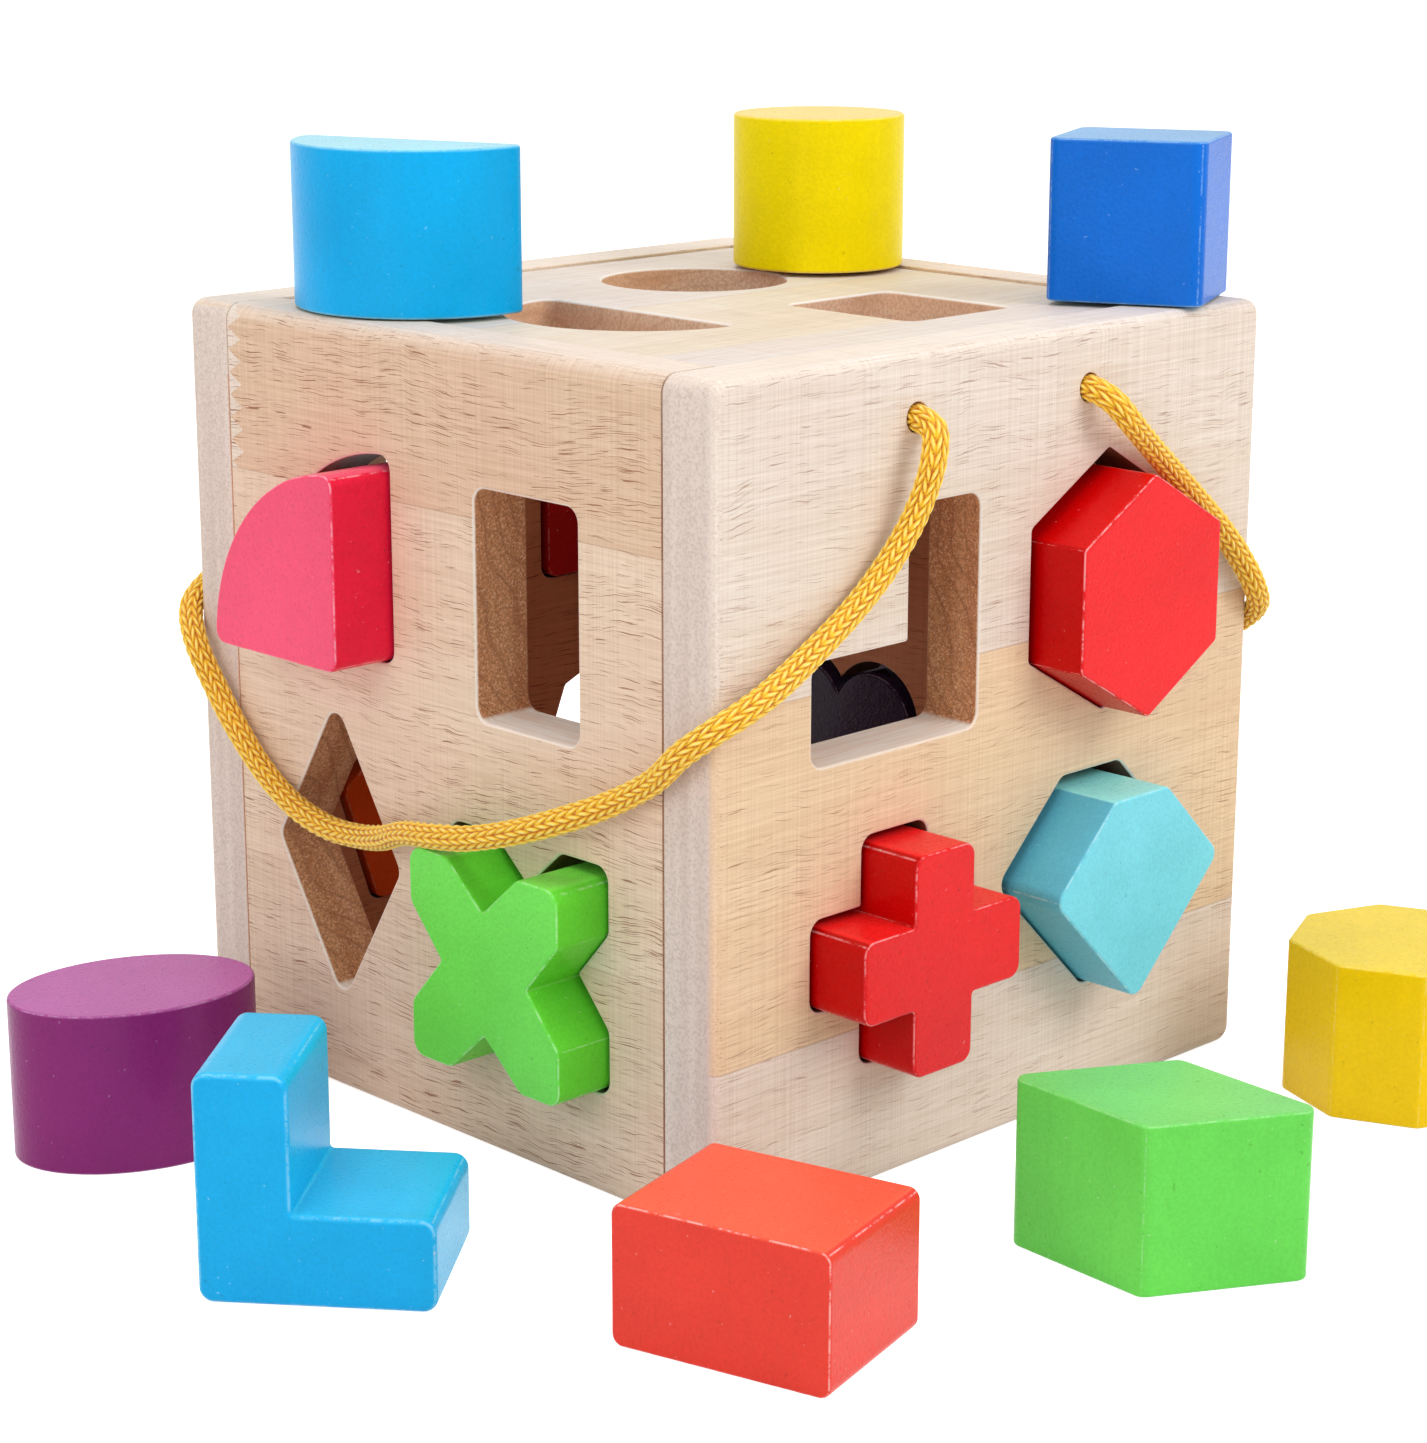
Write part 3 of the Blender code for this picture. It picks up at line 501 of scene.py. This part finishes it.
inWalls = {  # wall, how far it stands out, sideways shift, colour
    "hexagon": ("front", 10.2, 0.0, (241, 26, 31)), "cross": ("front", 11.3, 0.0, (238, 28, 34)),
    "cut_square": ("front", 11.3, 0.3, (125, 221, 239)), "quarter_round": ("left", 12.0, -0.5, (248, 80, 116)),
    "notched_square": ("left", 10.5, -0.5, (118, 231, 84)), "right_triangle": ("back", 16.0, 0.0, (196, 28, 30)),
    "pentagon": ("back", 16.0, 0.0, (240, 88, 22)), "star": ("right", 16.0, 0.0, (250, 196, 24)),
    "triangle": ("right", 16.0, 0.0, (64, 170, 76)), "trapezoid": ("right", 16.0, 0.0, (236, 76, 134)),
    "heart": ("right", 16.0, 0.0, (52, 32, 62)),
}
cordHoles = {"columns": (-22.55 * mm, 20.75 * mm), "height": 129.3 * mm, "radius": 2.5 * mm,
             "pocket": 5.5 * mm, "skin": 3.5 * mm}


def holeLoops(holes):
    # each shape's outline with its clearance, moved to its place in the board
    loops = []
    for shape, place in holes.items():
        corner = box["tightCorner"] if shape in ("star", "octagon", "hexagon") else box["holeCorner"]
        points, normals, crease = loopOf(shape, corner, clearance[shape])
        loops.append((points + np.array(place) * mm, normals, crease))
    return loops


for name, wall in walls.items():
    broad = name in ("front", "back")
    half, t = box["board"] / 2, box["height"]
    outer = wall["facing"] * (1 if name in ("left", "right") else -1)  # which local face looks outwards
    loops = holeLoops(wall["holes"])
    rounds = (box["faceRound"] if broad else box["sideRound"], 0.25 * mm)
    rounds = rounds if outer < 0 else rounds[::-1]
    edge = rimProfile(-half, half, *rounds)
    holeRounds = (box["ease"], box["innerEase"]) if outer < 0 else (box["innerEase"], box["ease"])
    profiles = {None: rimProfile(-half, half, *holeRounds)}
    if broad:
        h = box["width"] / 2
        loop = polygonLoop([(-h, 0), (h, 0), (h, t), (-h, t)], box["sideRound"], 12)
        for column in cordHoles["columns"]:
            small = arcRun((column, cordHoles["height"]), cordHoles["radius"], 0, 2 * pi * 31 / 32, 32)
            wide = cordHoles["radius"] - cordHoles["pocket"]
            rows = np.array([[-0.4 * mm, half, 0, 0], [-0.2 * mm, half, 0.5, 0], [0, half - 0.2 * mm, 0, 1],
                             [0, half - cordHoles["skin"], 0, 1], [wide, half - cordHoles["skin"], 0, 1],
                             [wide, -half, 0, 1], [wide - 0.2 * mm, -half, 0, 0]])  # outer face first
            profiles[len(loops)] = rows[::-1] * (-1, 1, 1, 1) if outer > 0 else rows * (-1, -1, 1, 1)
            loops.append(small)
        place = (0, wall["facing"] * (box["depth"] - box["board"]) / 2, 0)
    else:
        h = box["depth"] / 2 - box["board"] - box["seam"]
        gap = 0.3 * mm
        corner = np.array([(-h, 0), (-h + gap, 0), (h - gap, 0), (h, 0),
                           (h, t), (h - gap, t), (-h + gap, t), (-h, t)])
        pull = np.array([(0, -1.0)] * 4 + [(0, 1.0)] * 4)
        loop = (corner, pull, np.zeros(8))
        place = (wall["facing"] * (box["width"] - box["board"]) / 2, 0, 0)
    boardLooks[name]["inward"] = 1 if outer < 0 else -1
    filled = [i for i, shape in enumerate(wall["holes"]) if shape in inWalls]
    made = plate(name + "_board", loop, loops, edge, upright["front" if broad else "side"], place, profiles, filled)
    dress(made, woodMaterial("wood_" + name, boardLooks[name]), "box", [name + "_panel"])
print("walls made")

lidLook = {**wood, "seed": 5.27, "planks": [-40.0 * mm, 4.0 * mm], "pores": 0.3, "sill": 0.0, "seams": 0.15,
           "sawnShadeDark": linear(232, 180, 142), "sawnShadePale": linear(248, 218, 188),
           "sawnShadeDeep": linear(206, 154, 118), "sparkle": 0.2,
           "tones": [linear(243, 246, 252), linear(245, 244, 237), linear(244, 248, 255)]}
lid = {"width": 112.5 * mm, "depth": 110.5 * mm, "under": 128.0 * mm, "thick": 11.5 * mm,
       "holes": {"circle": (16.75, 24.95), "square": (17.35, -26.25), "half_round": (-20.15, 0.25)}}
h, k = lid["width"] / 2, lid["depth"] / 2
half = lid["thick"] / 2
made = plate("lid_board", polygonLoop([(-h, -k), (h, -k), (h, k), (-h, k)], 1.0 * mm, 7), holeLoops(lid["holes"]),
             rimProfile(-half, half, 0.2 * mm, 0.5 * mm), upright["flat"], (0, 0, lid["under"] + half),
             {None: rimProfile(-half, half, box["innerEase"], box["ease"])})
dress(made, woodMaterial("wood_lid", lidLook), "lid", ["lid"])

base = {"width": 112.9 * mm, "depth": 110.9 * mm, "thick": 9.0 * mm}
h, k = base["width"] / 2, base["depth"] / 2
baseLook = {**wood, "seed": 7.1, "planks": [-20.0 * mm, 33.0 * mm],
            "tones": [linear(250, 242, 234), linear(255, 250, 246), linear(250, 242, 234)]}
half = base["thick"] / 2
made = plate("base_plate", polygonLoop([(-h, -k), (h, -k), (h, k), (-h, k)], 0.6 * mm, 5), [],
             rimProfile(-half, half, 0.2 * mm, 0.2 * mm), upright["flat"], (0, 0, half))
dress(made, woodMaterial("wood_base", baseLook), "box", ["base_board"])

rest = {"side": 13.0 * mm, "height": 18.0 * mm, "top": 127.7 * mm, "x": 49.95 * mm, "y": 48.95 * mm}
for x, wide in ((-1, "left"), (1, "right")):
    for y, deep in ((-1, "front"), (1, "back")):
        q = rest["side"] / 2
        made = plate(f"rest_{deep}_{wide}", polygonLoop([(-q, -q), (q, -q), (q, q), (-q, q)], 0.5 * mm, 5), [],
                     rimProfile(-rest["height"] / 2, rest["height"] / 2, 0.4 * mm, 0.4 * mm), upright["flat"],
                     (x * rest["x"], y * rest["y"], rest["top"] - rest["height"] / 2))
        look = {**wood, "seed": 9.0 + x + 2 * y, "planks": [], "tones": [linear(250, 240, 228)]}
        dress(made, woodMaterial(f"wood_rest_{deep}_{wide}", look), "box", [f"lid_rest_{deep}_{wide}"])
print("lid, base and rests made")


# painted blocks

def paintMaterial(name, colour, seed, look):
    s = Shader(name)
    place = s.attribute("local", "Vector")
    local = s.node("VectorMath", {"operation": "ADD"}, {0: place, 1: (seed, seed * 0.7, seed * 1.3)})
    cloud = s.noise(local, 48.0, 3, 0.55)
    fine = s.noise(local, 1500.0, 3, 0.6)
    grain = s.noise(local, 1.0, 2, 0.55, (520, 520, 40))
    side, up = s.attribute("side"), s.attribute("up")
    # painted shade and light: the long sides take their own colour, mostly darker than the ends, for how light falls
    # on them
    litAndShadedTint = s.blend(side, linear(*colour), linear(*look["side"] or colour))
    if look["top"]:  # painted light: what faces up, a standing block's end or the long side of one that lies or sits in a wall, takes a paler colour for the light and sheen on it
        upward = s.attribute("end") * (s.split(place)[0].over(0.0) * 2 - 1) if look["tipped"] else 0 - up
        facing = upward.between(look["from"], look["from"] + 0.1) * side if look["from"] else 1 - side
        litAndShadedTint = s.blend(facing, litAndShadedTint, linear(*look["top"]))
    mottle = ((cloud - 0.5) * 1.6 + 0.5).held() * 0.2 + 0.86
    shade = mottle - ((grain - 0.5) * 1.6 + 0.5).held() * 0.05 + fine.between(0.38, 0.66) * 0.06
    paint = s.blend(1.0, litAndShadedTint, s.joined(shade, shade, shade), "MULTIPLY")
    # paint rubbed thin in a fine broken line along the edges, partly a painted highlight, and a few specks on the
    # faces
    edge = s.attribute("rim").between(0.7, 0.98).most((s.attribute("crease") * side).between(0.955, 0.995))
    wornAndHighlit = edge * s.noise(local, 300.0, 4, 0.85).between(0.42, 0.56)
    paint = s.blend(wornAndHighlit * look["wornAndHighlit"], paint, linear(*[c + (255 - c) * 0.62 for c in colour]))
    chip = s.noise(local, 620.0, 2, 0.5).between(0.72, 0.75) * edge
    paint = s.blend((chip * look["wornAndHighlit"]).held(), paint, linear(238, 218, 196))
    fleck = s.noise(local, 1150.0, 1, 0.5).between(0.765, 0.79)
    paint = s.blend(fleck * 0.4, paint, linear(*[c + (255 - c) * 0.55 for c in colour]))
    pit = s.noise(local, 900.0, 1, 0.5).between(0.755, 0.785)
    paint = s.blend(pit * 0.25, paint, linear(*[c * 0.5 for c in colour]))
    height = fine * 1.0 + grain * 0.35 + cloud * 0.2 - pit * 0.6
    return s.feed(colour=paint, rough=0.3 + (fine - 0.5) * 0.2, normal=s.bump(height, 0.55, 0.0002),
                  specular=look["gloss"], coat=look["gloss"] * 0.75, coatRough=0.12)


paintLooks = {  # colours of the long-grain sides and of what faces up, painted shade and light for how light falls on them, and how worn the edges are, with a painted highlight
    "usual": {"side": None, "top": None, "from": 0.0, "tipped": False, "wornAndHighlit": 0.4, "gloss": 0.11},
    "hexagon": {"side": (202, 2, 4), "top": (224, 3, 5), "from": 0.8, "wornAndHighlit": 0.8},
    "cross": {"side": (194, 3, 4), "top": (248, 36, 36), "from": 0.85, "wornAndHighlit": 0.6},
    "cut_square": {"side": (101, 197, 224), "top": (158, 255, 255), "from": 0.85, "wornAndHighlit": 0.5},
    "quarter_round": {"side": (251, 32, 70), "top": (255, 92, 124), "from": 0.75, "wornAndHighlit": 0.6},
    "notched_square": {"side": (101, 222, 55), "top": (122, 234, 80), "from": 0.85, "wornAndHighlit": 0.5},
    "half_round": {"top": (144, 215, 231)}, "cuboid": {"top": (93, 160, 212)},
    "cylinder": {"side": (255, 230, 0), "top": (252, 210, 104), "gloss": 0.05},
    "ellipse": {"top": (184, 92, 164)}, "diamond": {"top": (124, 216, 110), "wornAndHighlit": 0.3},
    "octagon": {"top": (240, 214, 52)},
    "rectangle": {"top": (255, 99, 72), "from": 0.85, "tipped": True, "wornAndHighlit": 0.8},
    "ell": {"side": (26, 186, 242), "top": (50, 187, 234), "from": 0.85},
}


blockSize = {"length": 28.5 * mm, "corner": 2.4 * mm, "ease": 0.55 * mm}


def block(name, shape, colour, turnTo, place, body):
    length, corner = blockSize["length"], shapes[shape].get("corner", blockSize["corner"])
    ease = shapes[shape].get("ease", blockSize["ease"])
    made = plate("painted_" + name, loopOf(shape, corner), [],
                 rimProfile(-length / 2, length / 2, ease, ease), turnTo, place)
    seed = len(name) * 0.31 + sum(map(ord, name)) * 0.013
    look = {**paintLooks["usual"], **paintLooks.get(name, {})}
    return dress(made, paintMaterial("paint_" + name, colour, seed, look), body, ["block_" + name])


for shape, (wallName, proud, aside, colour) in inWalls.items():
    wall = walls[wallName]
    u, v = np.array(wall["holes"][shape]) * mm
    drop = (clearance[shape] - box["seam"]) / cos(shapes[shape].get("slope", 0.0))
    broad = wallName in ("front", "back")
    away = (box["depth"] if broad else box["width"]) / 2 + proud * mm - blockSize["length"] / 2
    along = u + aside * mm
    place = (along, wall["facing"] * away, v - drop) if broad else (wall["facing"] * away, along, v - drop)
    block(shape, shape, colour, upright["front" if broad else "side"], place, "block_" + shape)

loose = {  # shape, colour, place, and the angles tipped over and turned; lying ones have their outline upright
    "half_round": ("half_round", (0, 172, 236), (-43.93, 30.85, 154.55), None, 19.9),
    "cylinder": ("circle", (255, 221, 0), (45.95, 21.05, 154.55), None, 0.0),
    "cuboid": ("square", (0, 108, 214), (52.75, -51.3, 154.55), None, 25.8),
    "diamond": ("diamond", (106, 216, 84), (-21.65, -120.92, 14.25), None, 28.2),
    "ellipse": ("ellipse", (134, 34, 108), (-108.35, 35.05, 14.25), None, 161.3),
    "octagon": ("octagon", (244, 202, 0), (68.83, -103.55, 14.25), None, 1.2),
    "rectangle": ("rectangle", (230, 62, 46), (-86.55, -97.15, 11.55), 90.0, -74.8),
    "ell": ("ell", (12, 170, 229), (-117.88, -32.8, 18.9), 0.0, 129.3),
}
for name, (shape, colour, place, tip, spin) in loose.items():
    basis = Matrix.Rotation(radians(spin), 3, "Z")
    if tip is not None:
        basis = basis @ Matrix.Rotation(radians(-tip), 3, "Y") @ Matrix.Rotation(pi / 2, 3, "X")
    block(name, shape, colour, basis, np.array(place) * mm, "block_" + name)
print("blocks made")


# cords

cord = {"radius": 2.0 * mm, "proud": 0.24 * mm, "columns": 6, "stitch": 2.15 * mm, "depth": 0.62 * mm, "slope": 1.05,
        "around": 64, "perStitch": 9, "nearCorner": (-68.25, -67.25, 0.0)}
routes = {
    "left": [
        (45.7, 3.5, 129.3), (45.7, -0.6, 129.1), (45.0, -4.3, 127.6), (43.4, -5.6, 123.2),
        (42.0, -4.9, 117.8), (39.3, -3.9, 112.1), (34.5, -3.1, 106.1), (27.4, -2.8, 100.4),
        (18.6, -2.9, 95.3), (9.6, -3.5, 91.2), (2.9, -3.2, 88.5), (-1.2, -0.9, 85.8),
        (-3.5, 4.0, 81.6), (-3.1, 10.6, 76.0), (-3.8, 19.0, 71.0), (-6.2, 28.4, 66.6),
        (-8.4, 38.0, 62.9), (-9.6, 48.0, 60.0), (-9.9, 57.0, 58.5), (-8.4, 66.0, 56.8),
        (-5.4, 75.5, 53.3), (-3.2, 85.0, 51.0), (-2.9, 94.5, 50.6), (-2.9, 104.0, 52.7),
        (-2.9, 112.5, 57.2), (-2.9, 120.0, 63.5), (-3.1, 126.0, 70.4), (-3.5, 130.6, 77.4),
        (-1.2, 135.4, 82.4), (2.9, 137.7, 85.6), (9.6, 138.0, 89.4), (18.6, 137.4, 94.2),
        (27.6, 137.3, 99.6), (35.6, 137.5, 105.2), (41.8, 138.5, 111.4), (45.2, 139.7, 117.2),
        (46.2, 140.7, 122.8), (46.2, 139.1, 127.2), (45.8, 135.1, 129.1), (45.7, 131.0, 129.3)],
    "right": [
        (89.0, 3.5, 129.3), (89.0, -0.6, 129.1), (89.8, -4.4, 127.4), (93.0, -5.6, 123.9),
        (99.3, -4.5, 119.3), (107.4, -3.4, 113.4), (115.4, -3.0, 107.2), (122.6, -3.0, 101.0),
        (128.6, -3.2, 94.8), (133.2, -3.4, 88.8), (137.3, -1.2, 84.2), (139.9, 4.0, 80.2),
        (139.7, 12.0, 75.6), (139.6, 22.0, 71.6), (140.4, 33.0, 68.8), (141.4, 45.0, 67.0),
        (142.0, 57.0, 66.2), (142.2, 67.0, 66.0), (142.0, 78.0, 66.2), (141.4, 90.0, 67.0),
        (140.4, 102.0, 68.8), (139.6, 113.0, 71.6), (139.7, 122.5, 75.6), (139.9, 130.5, 80.2),
        (137.3, 135.7, 84.2), (133.2, 137.9, 88.8), (128.6, 137.7, 94.8), (122.6, 137.5, 101.0),
        (115.4, 137.5, 107.2), (107.4, 137.9, 113.4), (99.6, 139.1, 119.6), (93.6, 140.5, 124.6),
        (90.0, 139.3, 127.7), (89.0, 135.1, 129.1), (89.0, 131.0, 129.3)],
}


def smoothRoute(places, step):
    # a curve through every place: each stretch is a cubic whose slope at a place joins its two neighbours
    p = np.concatenate([places[:1], places, places[-1:]])
    t = np.linspace(0, 1, 24, endpoint=False)[None, :, None]
    a, b, c, d = (p[i:len(p) - 3 + i][:, None] for i in range(4))
    fine = (b + 0.5 * t * ((c - a) + t * ((2 * a - 5 * b + 4 * c - d) + t * (3 * (b - c) + d - a)))).reshape(-1, 3)
    fine = np.concatenate([fine, places[-1:]])
    walked = np.concatenate([[0], np.cumsum(np.linalg.norm(np.diff(fine, axis=0), axis=1))])
    even = np.linspace(0, walked[-1], int(walked[-1] / step) + 1)
    return np.stack([np.interp(even, walked, fine[:, i]) for i in range(3)], 1), walked[-1]


def framesAlong(points):
    # two directions square to the path, carried along it without twisting
    tangent = np.gradient(points, axis=0)
    tangent /= np.linalg.norm(tangent, axis=1)[:, None]
    one = np.zeros_like(points)
    one[0] = np.cross(tangent[0], (1, 0, 0))
    one[0] /= np.linalg.norm(one[0])
    for i in range(1, len(points)):
        one[i] = one[i - 1] - tangent[i] * (one[i - 1] @ tangent[i])
        one[i] /= np.linalg.norm(one[i])
    return tangent, one, np.cross(tangent, one)


def braidedTube(name, points, radius, look):
    # radius as a function of place along and angle round: columns of V stitches, each leg a rounded ridge
    rows, count = len(points), look["around"]
    tangent, one, two = framesAlong(points)
    length = np.concatenate([[0], np.cumsum(np.linalg.norm(np.diff(points, axis=0), axis=1))])
    s, angle = np.meshgrid(length, np.linspace(0, 2 * pi, count, endpoint=False), indexing="ij")
    column = angle * look["columns"] / (2 * pi) + 0.2 * np.sin(s / (23 * mm))
    m = np.abs(2 * (column % 1.0) - 1)
    phase = (s / look["stitch"] + look["slope"] * m + 0.5 * (np.floor(column) % 2)) % 1.0
    ridge = np.sqrt(np.clip(1 - np.abs(2 * phase - 1) ** 1.8, 0, 1))
    leg = np.sqrt(np.clip(1 - np.abs(2 * m - 1) ** 2.2, 0, 1))
    height = ridge * (0.15 + 0.85 * leg)
    wobble = 1 + 0.02 * np.sin(s / (9 * mm) + 1.3) + 0.015 * np.sin(s / (4.1 * mm))
    r = (radius + look["proud"]) * wobble - look["depth"] * (1 - height)
    outward = np.cos(angle)[..., None] * one[:, None] + np.sin(angle)[..., None] * two[:, None]
    world = points[:, None] + r[..., None] * outward
    k, j = np.meshgrid(np.arange(rows - 1), np.arange(count), indexing="ij")
    n = (j + 1) % count
    corners = [k * count + j, k * count + n, (k + 1) * count + n, (k + 1) * count + j]
    faces = np.stack(corners, -1).reshape(-1, 4).tolist()
    faces += [list(range(count)), list(range((rows - 1) * count, rows * count))]
    local = np.stack([s, angle * radius, r], -1).reshape(-1, 3)
    return finished(name, world.reshape(-1, 3), faces, {"nap": height.ravel()}, local, sharp=0)


def cordMaterial(name, colour):
    s = Shader(name)
    nap, local = s.attribute("nap"), s.attribute("local", "Vector")
    mottle = s.noise(local, 260.0, 2, 0.5)
    thread = s.noise(local, 1.0, 2, 0.6, (1700, 5200, 0))
    # painted shade and highlight: the braid's hollows, where the nap is low, take the dark gap colour and its ridges
    # the pale top colour
    yarn = s.blend(nap.between(0.28, 0.8), colour["gap"], colour["yarn"])
    yarn = s.blend(nap.between(0.72, 0.98) * 0.8, yarn, colour["top"])
    yarn = s.blend(((mottle - 0.5) * 2.0 + 0.5).held() * 0.3, yarn, colour["warm"])
    yarn = s.blend(thread.between(0.3, 0.7) * 0.16, yarn, colour["gap"])
    return s.feed(colour=yarn, rough=0.55, normal=s.bump(thread * 0.6 + nap * 0.3, 0.4, 0.0001),
                  specular=0.4, sheen=0.25)


# gap is painted shade in the braid's hollows, top a painted highlight on its ridges
yarnMaterial = cordMaterial("golden_cord", {"gap": linear(190, 92, 0), "yarn": linear(255, 210, 20),
                                            "top": linear(255, 246, 150), "warm": linear(255, 186, 0)})
for side, route in routes.items():
    places = (np.array(route) + cord["nearCorner"]) * mm
    points, length = smoothRoute(places, cord["stitch"] / cord["perStitch"])
    made = braidedTube("handle_" + side, points, cord["radius"], cord)
    dress(made, yarnMaterial, "box", ["cord_" + side])
    print(f"cord {side}: {length * 1000:.0f} mm")

knot = {"reach": 2.3 * mm, "thread": 1.75 * mm, "flat": 0.62, "sunk": 7.5 * mm, "points": 300,
        "braid": {**cord, "around": 40, "stitch": 1.3 * mm}}
for end, facing in (("front", -1), ("back", 1)):
    for side, column in zip(("left", "right"), cordHoles["columns"]):
        t = np.linspace(0, 2 * pi, knot["points"], endpoint=False)
        # a trefoil: a cord end tied over itself, pressed flat into its pocket
        curve = np.stack([np.sin(t) + 2 * np.sin(2 * t), -np.sin(3 * t) * 0.9, np.cos(t) - 2 * np.cos(2 * t)], 1)
        curve *= knot["reach"] / 3 * np.array([1, knot["flat"], 1])
        centre = (column, facing * (box["depth"] / 2 - knot["sunk"]), cordHoles["height"])
        ring = np.concatenate([curve, curve[:1]]) + centre
        made = braidedTube(f"cord_knot_{end}_{side}", ring, knot["thread"], knot["braid"])
        dress(made, yarnMaterial, "box", [f"knot_{end}_{side}"])
print("cords and knots made")


# table and light

def stageMaterial(name):
    # lit white, with white added for the camera and in reflections so that only the shadows show
    s = Shader(name)
    camera, glossy, through = (s.node("LightPath", {}, {}, out=f"Is {kind} Ray")
                               for kind in ("Camera", "Glossy", "Transmission"))
    seen = camera.most(glossy).most(through)
    s.feed(colour=(0.86, 0.86, 0.86, 1), rough=0.9, specular=0.0)
    glow = s.node("Emission", {}, {"Color": (1, 1, 1, 1), "Strength": 0.8})
    both = s.node("AddShader", {}, {0: Wire(s, s.surface.outputs[0]), 1: glow})
    final = s.node("MixShader", {}, {0: seen, 1: Wire(s, s.surface.outputs[0]), 2: both})
    s.tree.links.new(final.socket, s.tree.nodes["Material Output"].inputs[0])
    return s.material


bpy.ops.mesh.primitive_plane_add(size=8)
table = bpy.context.object
table.name = "table"
table.data.materials.append(stageMaterial("table_white"))

world = bpy.data.worlds.new("daylight")
bpy.context.scene.world = world
world.use_nodes = True
sky = world.node_tree
back = sky.nodes["Background"]
back.inputs["Color"].default_value = (1.0, 1.0, 1.0, 1)
back.inputs["Strength"].default_value = 0.52
plain = sky.nodes.new("ShaderNodeBackground")
plain.inputs["Color"].default_value = (1, 1, 1, 1)
plain.inputs["Strength"].default_value = 1.0
rays = sky.nodes.new("ShaderNodeLightPath")
either = sky.nodes.new("ShaderNodeMath")
either.operation = "MAXIMUM"
sky.links.new(rays.outputs["Is Camera Ray"], either.inputs[0])
sky.links.new(rays.outputs["Is Glossy Ray"], either.inputs[1])
choose = sky.nodes.new("ShaderNodeMixShader")
sky.links.new(either.outputs[0], choose.inputs[0])
sky.links.new(back.outputs[0], choose.inputs[1])
sky.links.new(plain.outputs[0], choose.inputs[2])
sky.links.new(choose.outputs[0], sky.nodes["World Output"].inputs[0])

lamps = {  # place, aimed at the box, size in metres, watts, colour
    "key": ((0.35, -1.05, 0.85), 0.7, 7.6, (1.0, 0.99, 0.985)),
    "top": ((-0.1, 0.1, 1.3), 0.9, 6.2, (1.0, 1.0, 1.0)),
    "fill": ((-1.2, -0.2, 0.6), 0.9, 4.9, (0.99, 0.99, 1.0)),
}
for name, (place, size, watts, colour) in lamps.items():
    light = bpy.data.lights.new(name, "AREA")
    light.shape, light.size, light.energy, light.color = "SQUARE", size, watts, colour
    lamp = bpy.data.objects.new(name, light)
    lamp.location = place
    lamp.rotation_euler = (Vector((0, 0, 0.06)) - Vector(place)).to_track_quat("-Z", "Y").to_euler()
    bpy.context.scene.collection.objects.link(lamp)

bpy.context.scene.view_settings.view_transform = "Standard"
print("table and lamps placed")
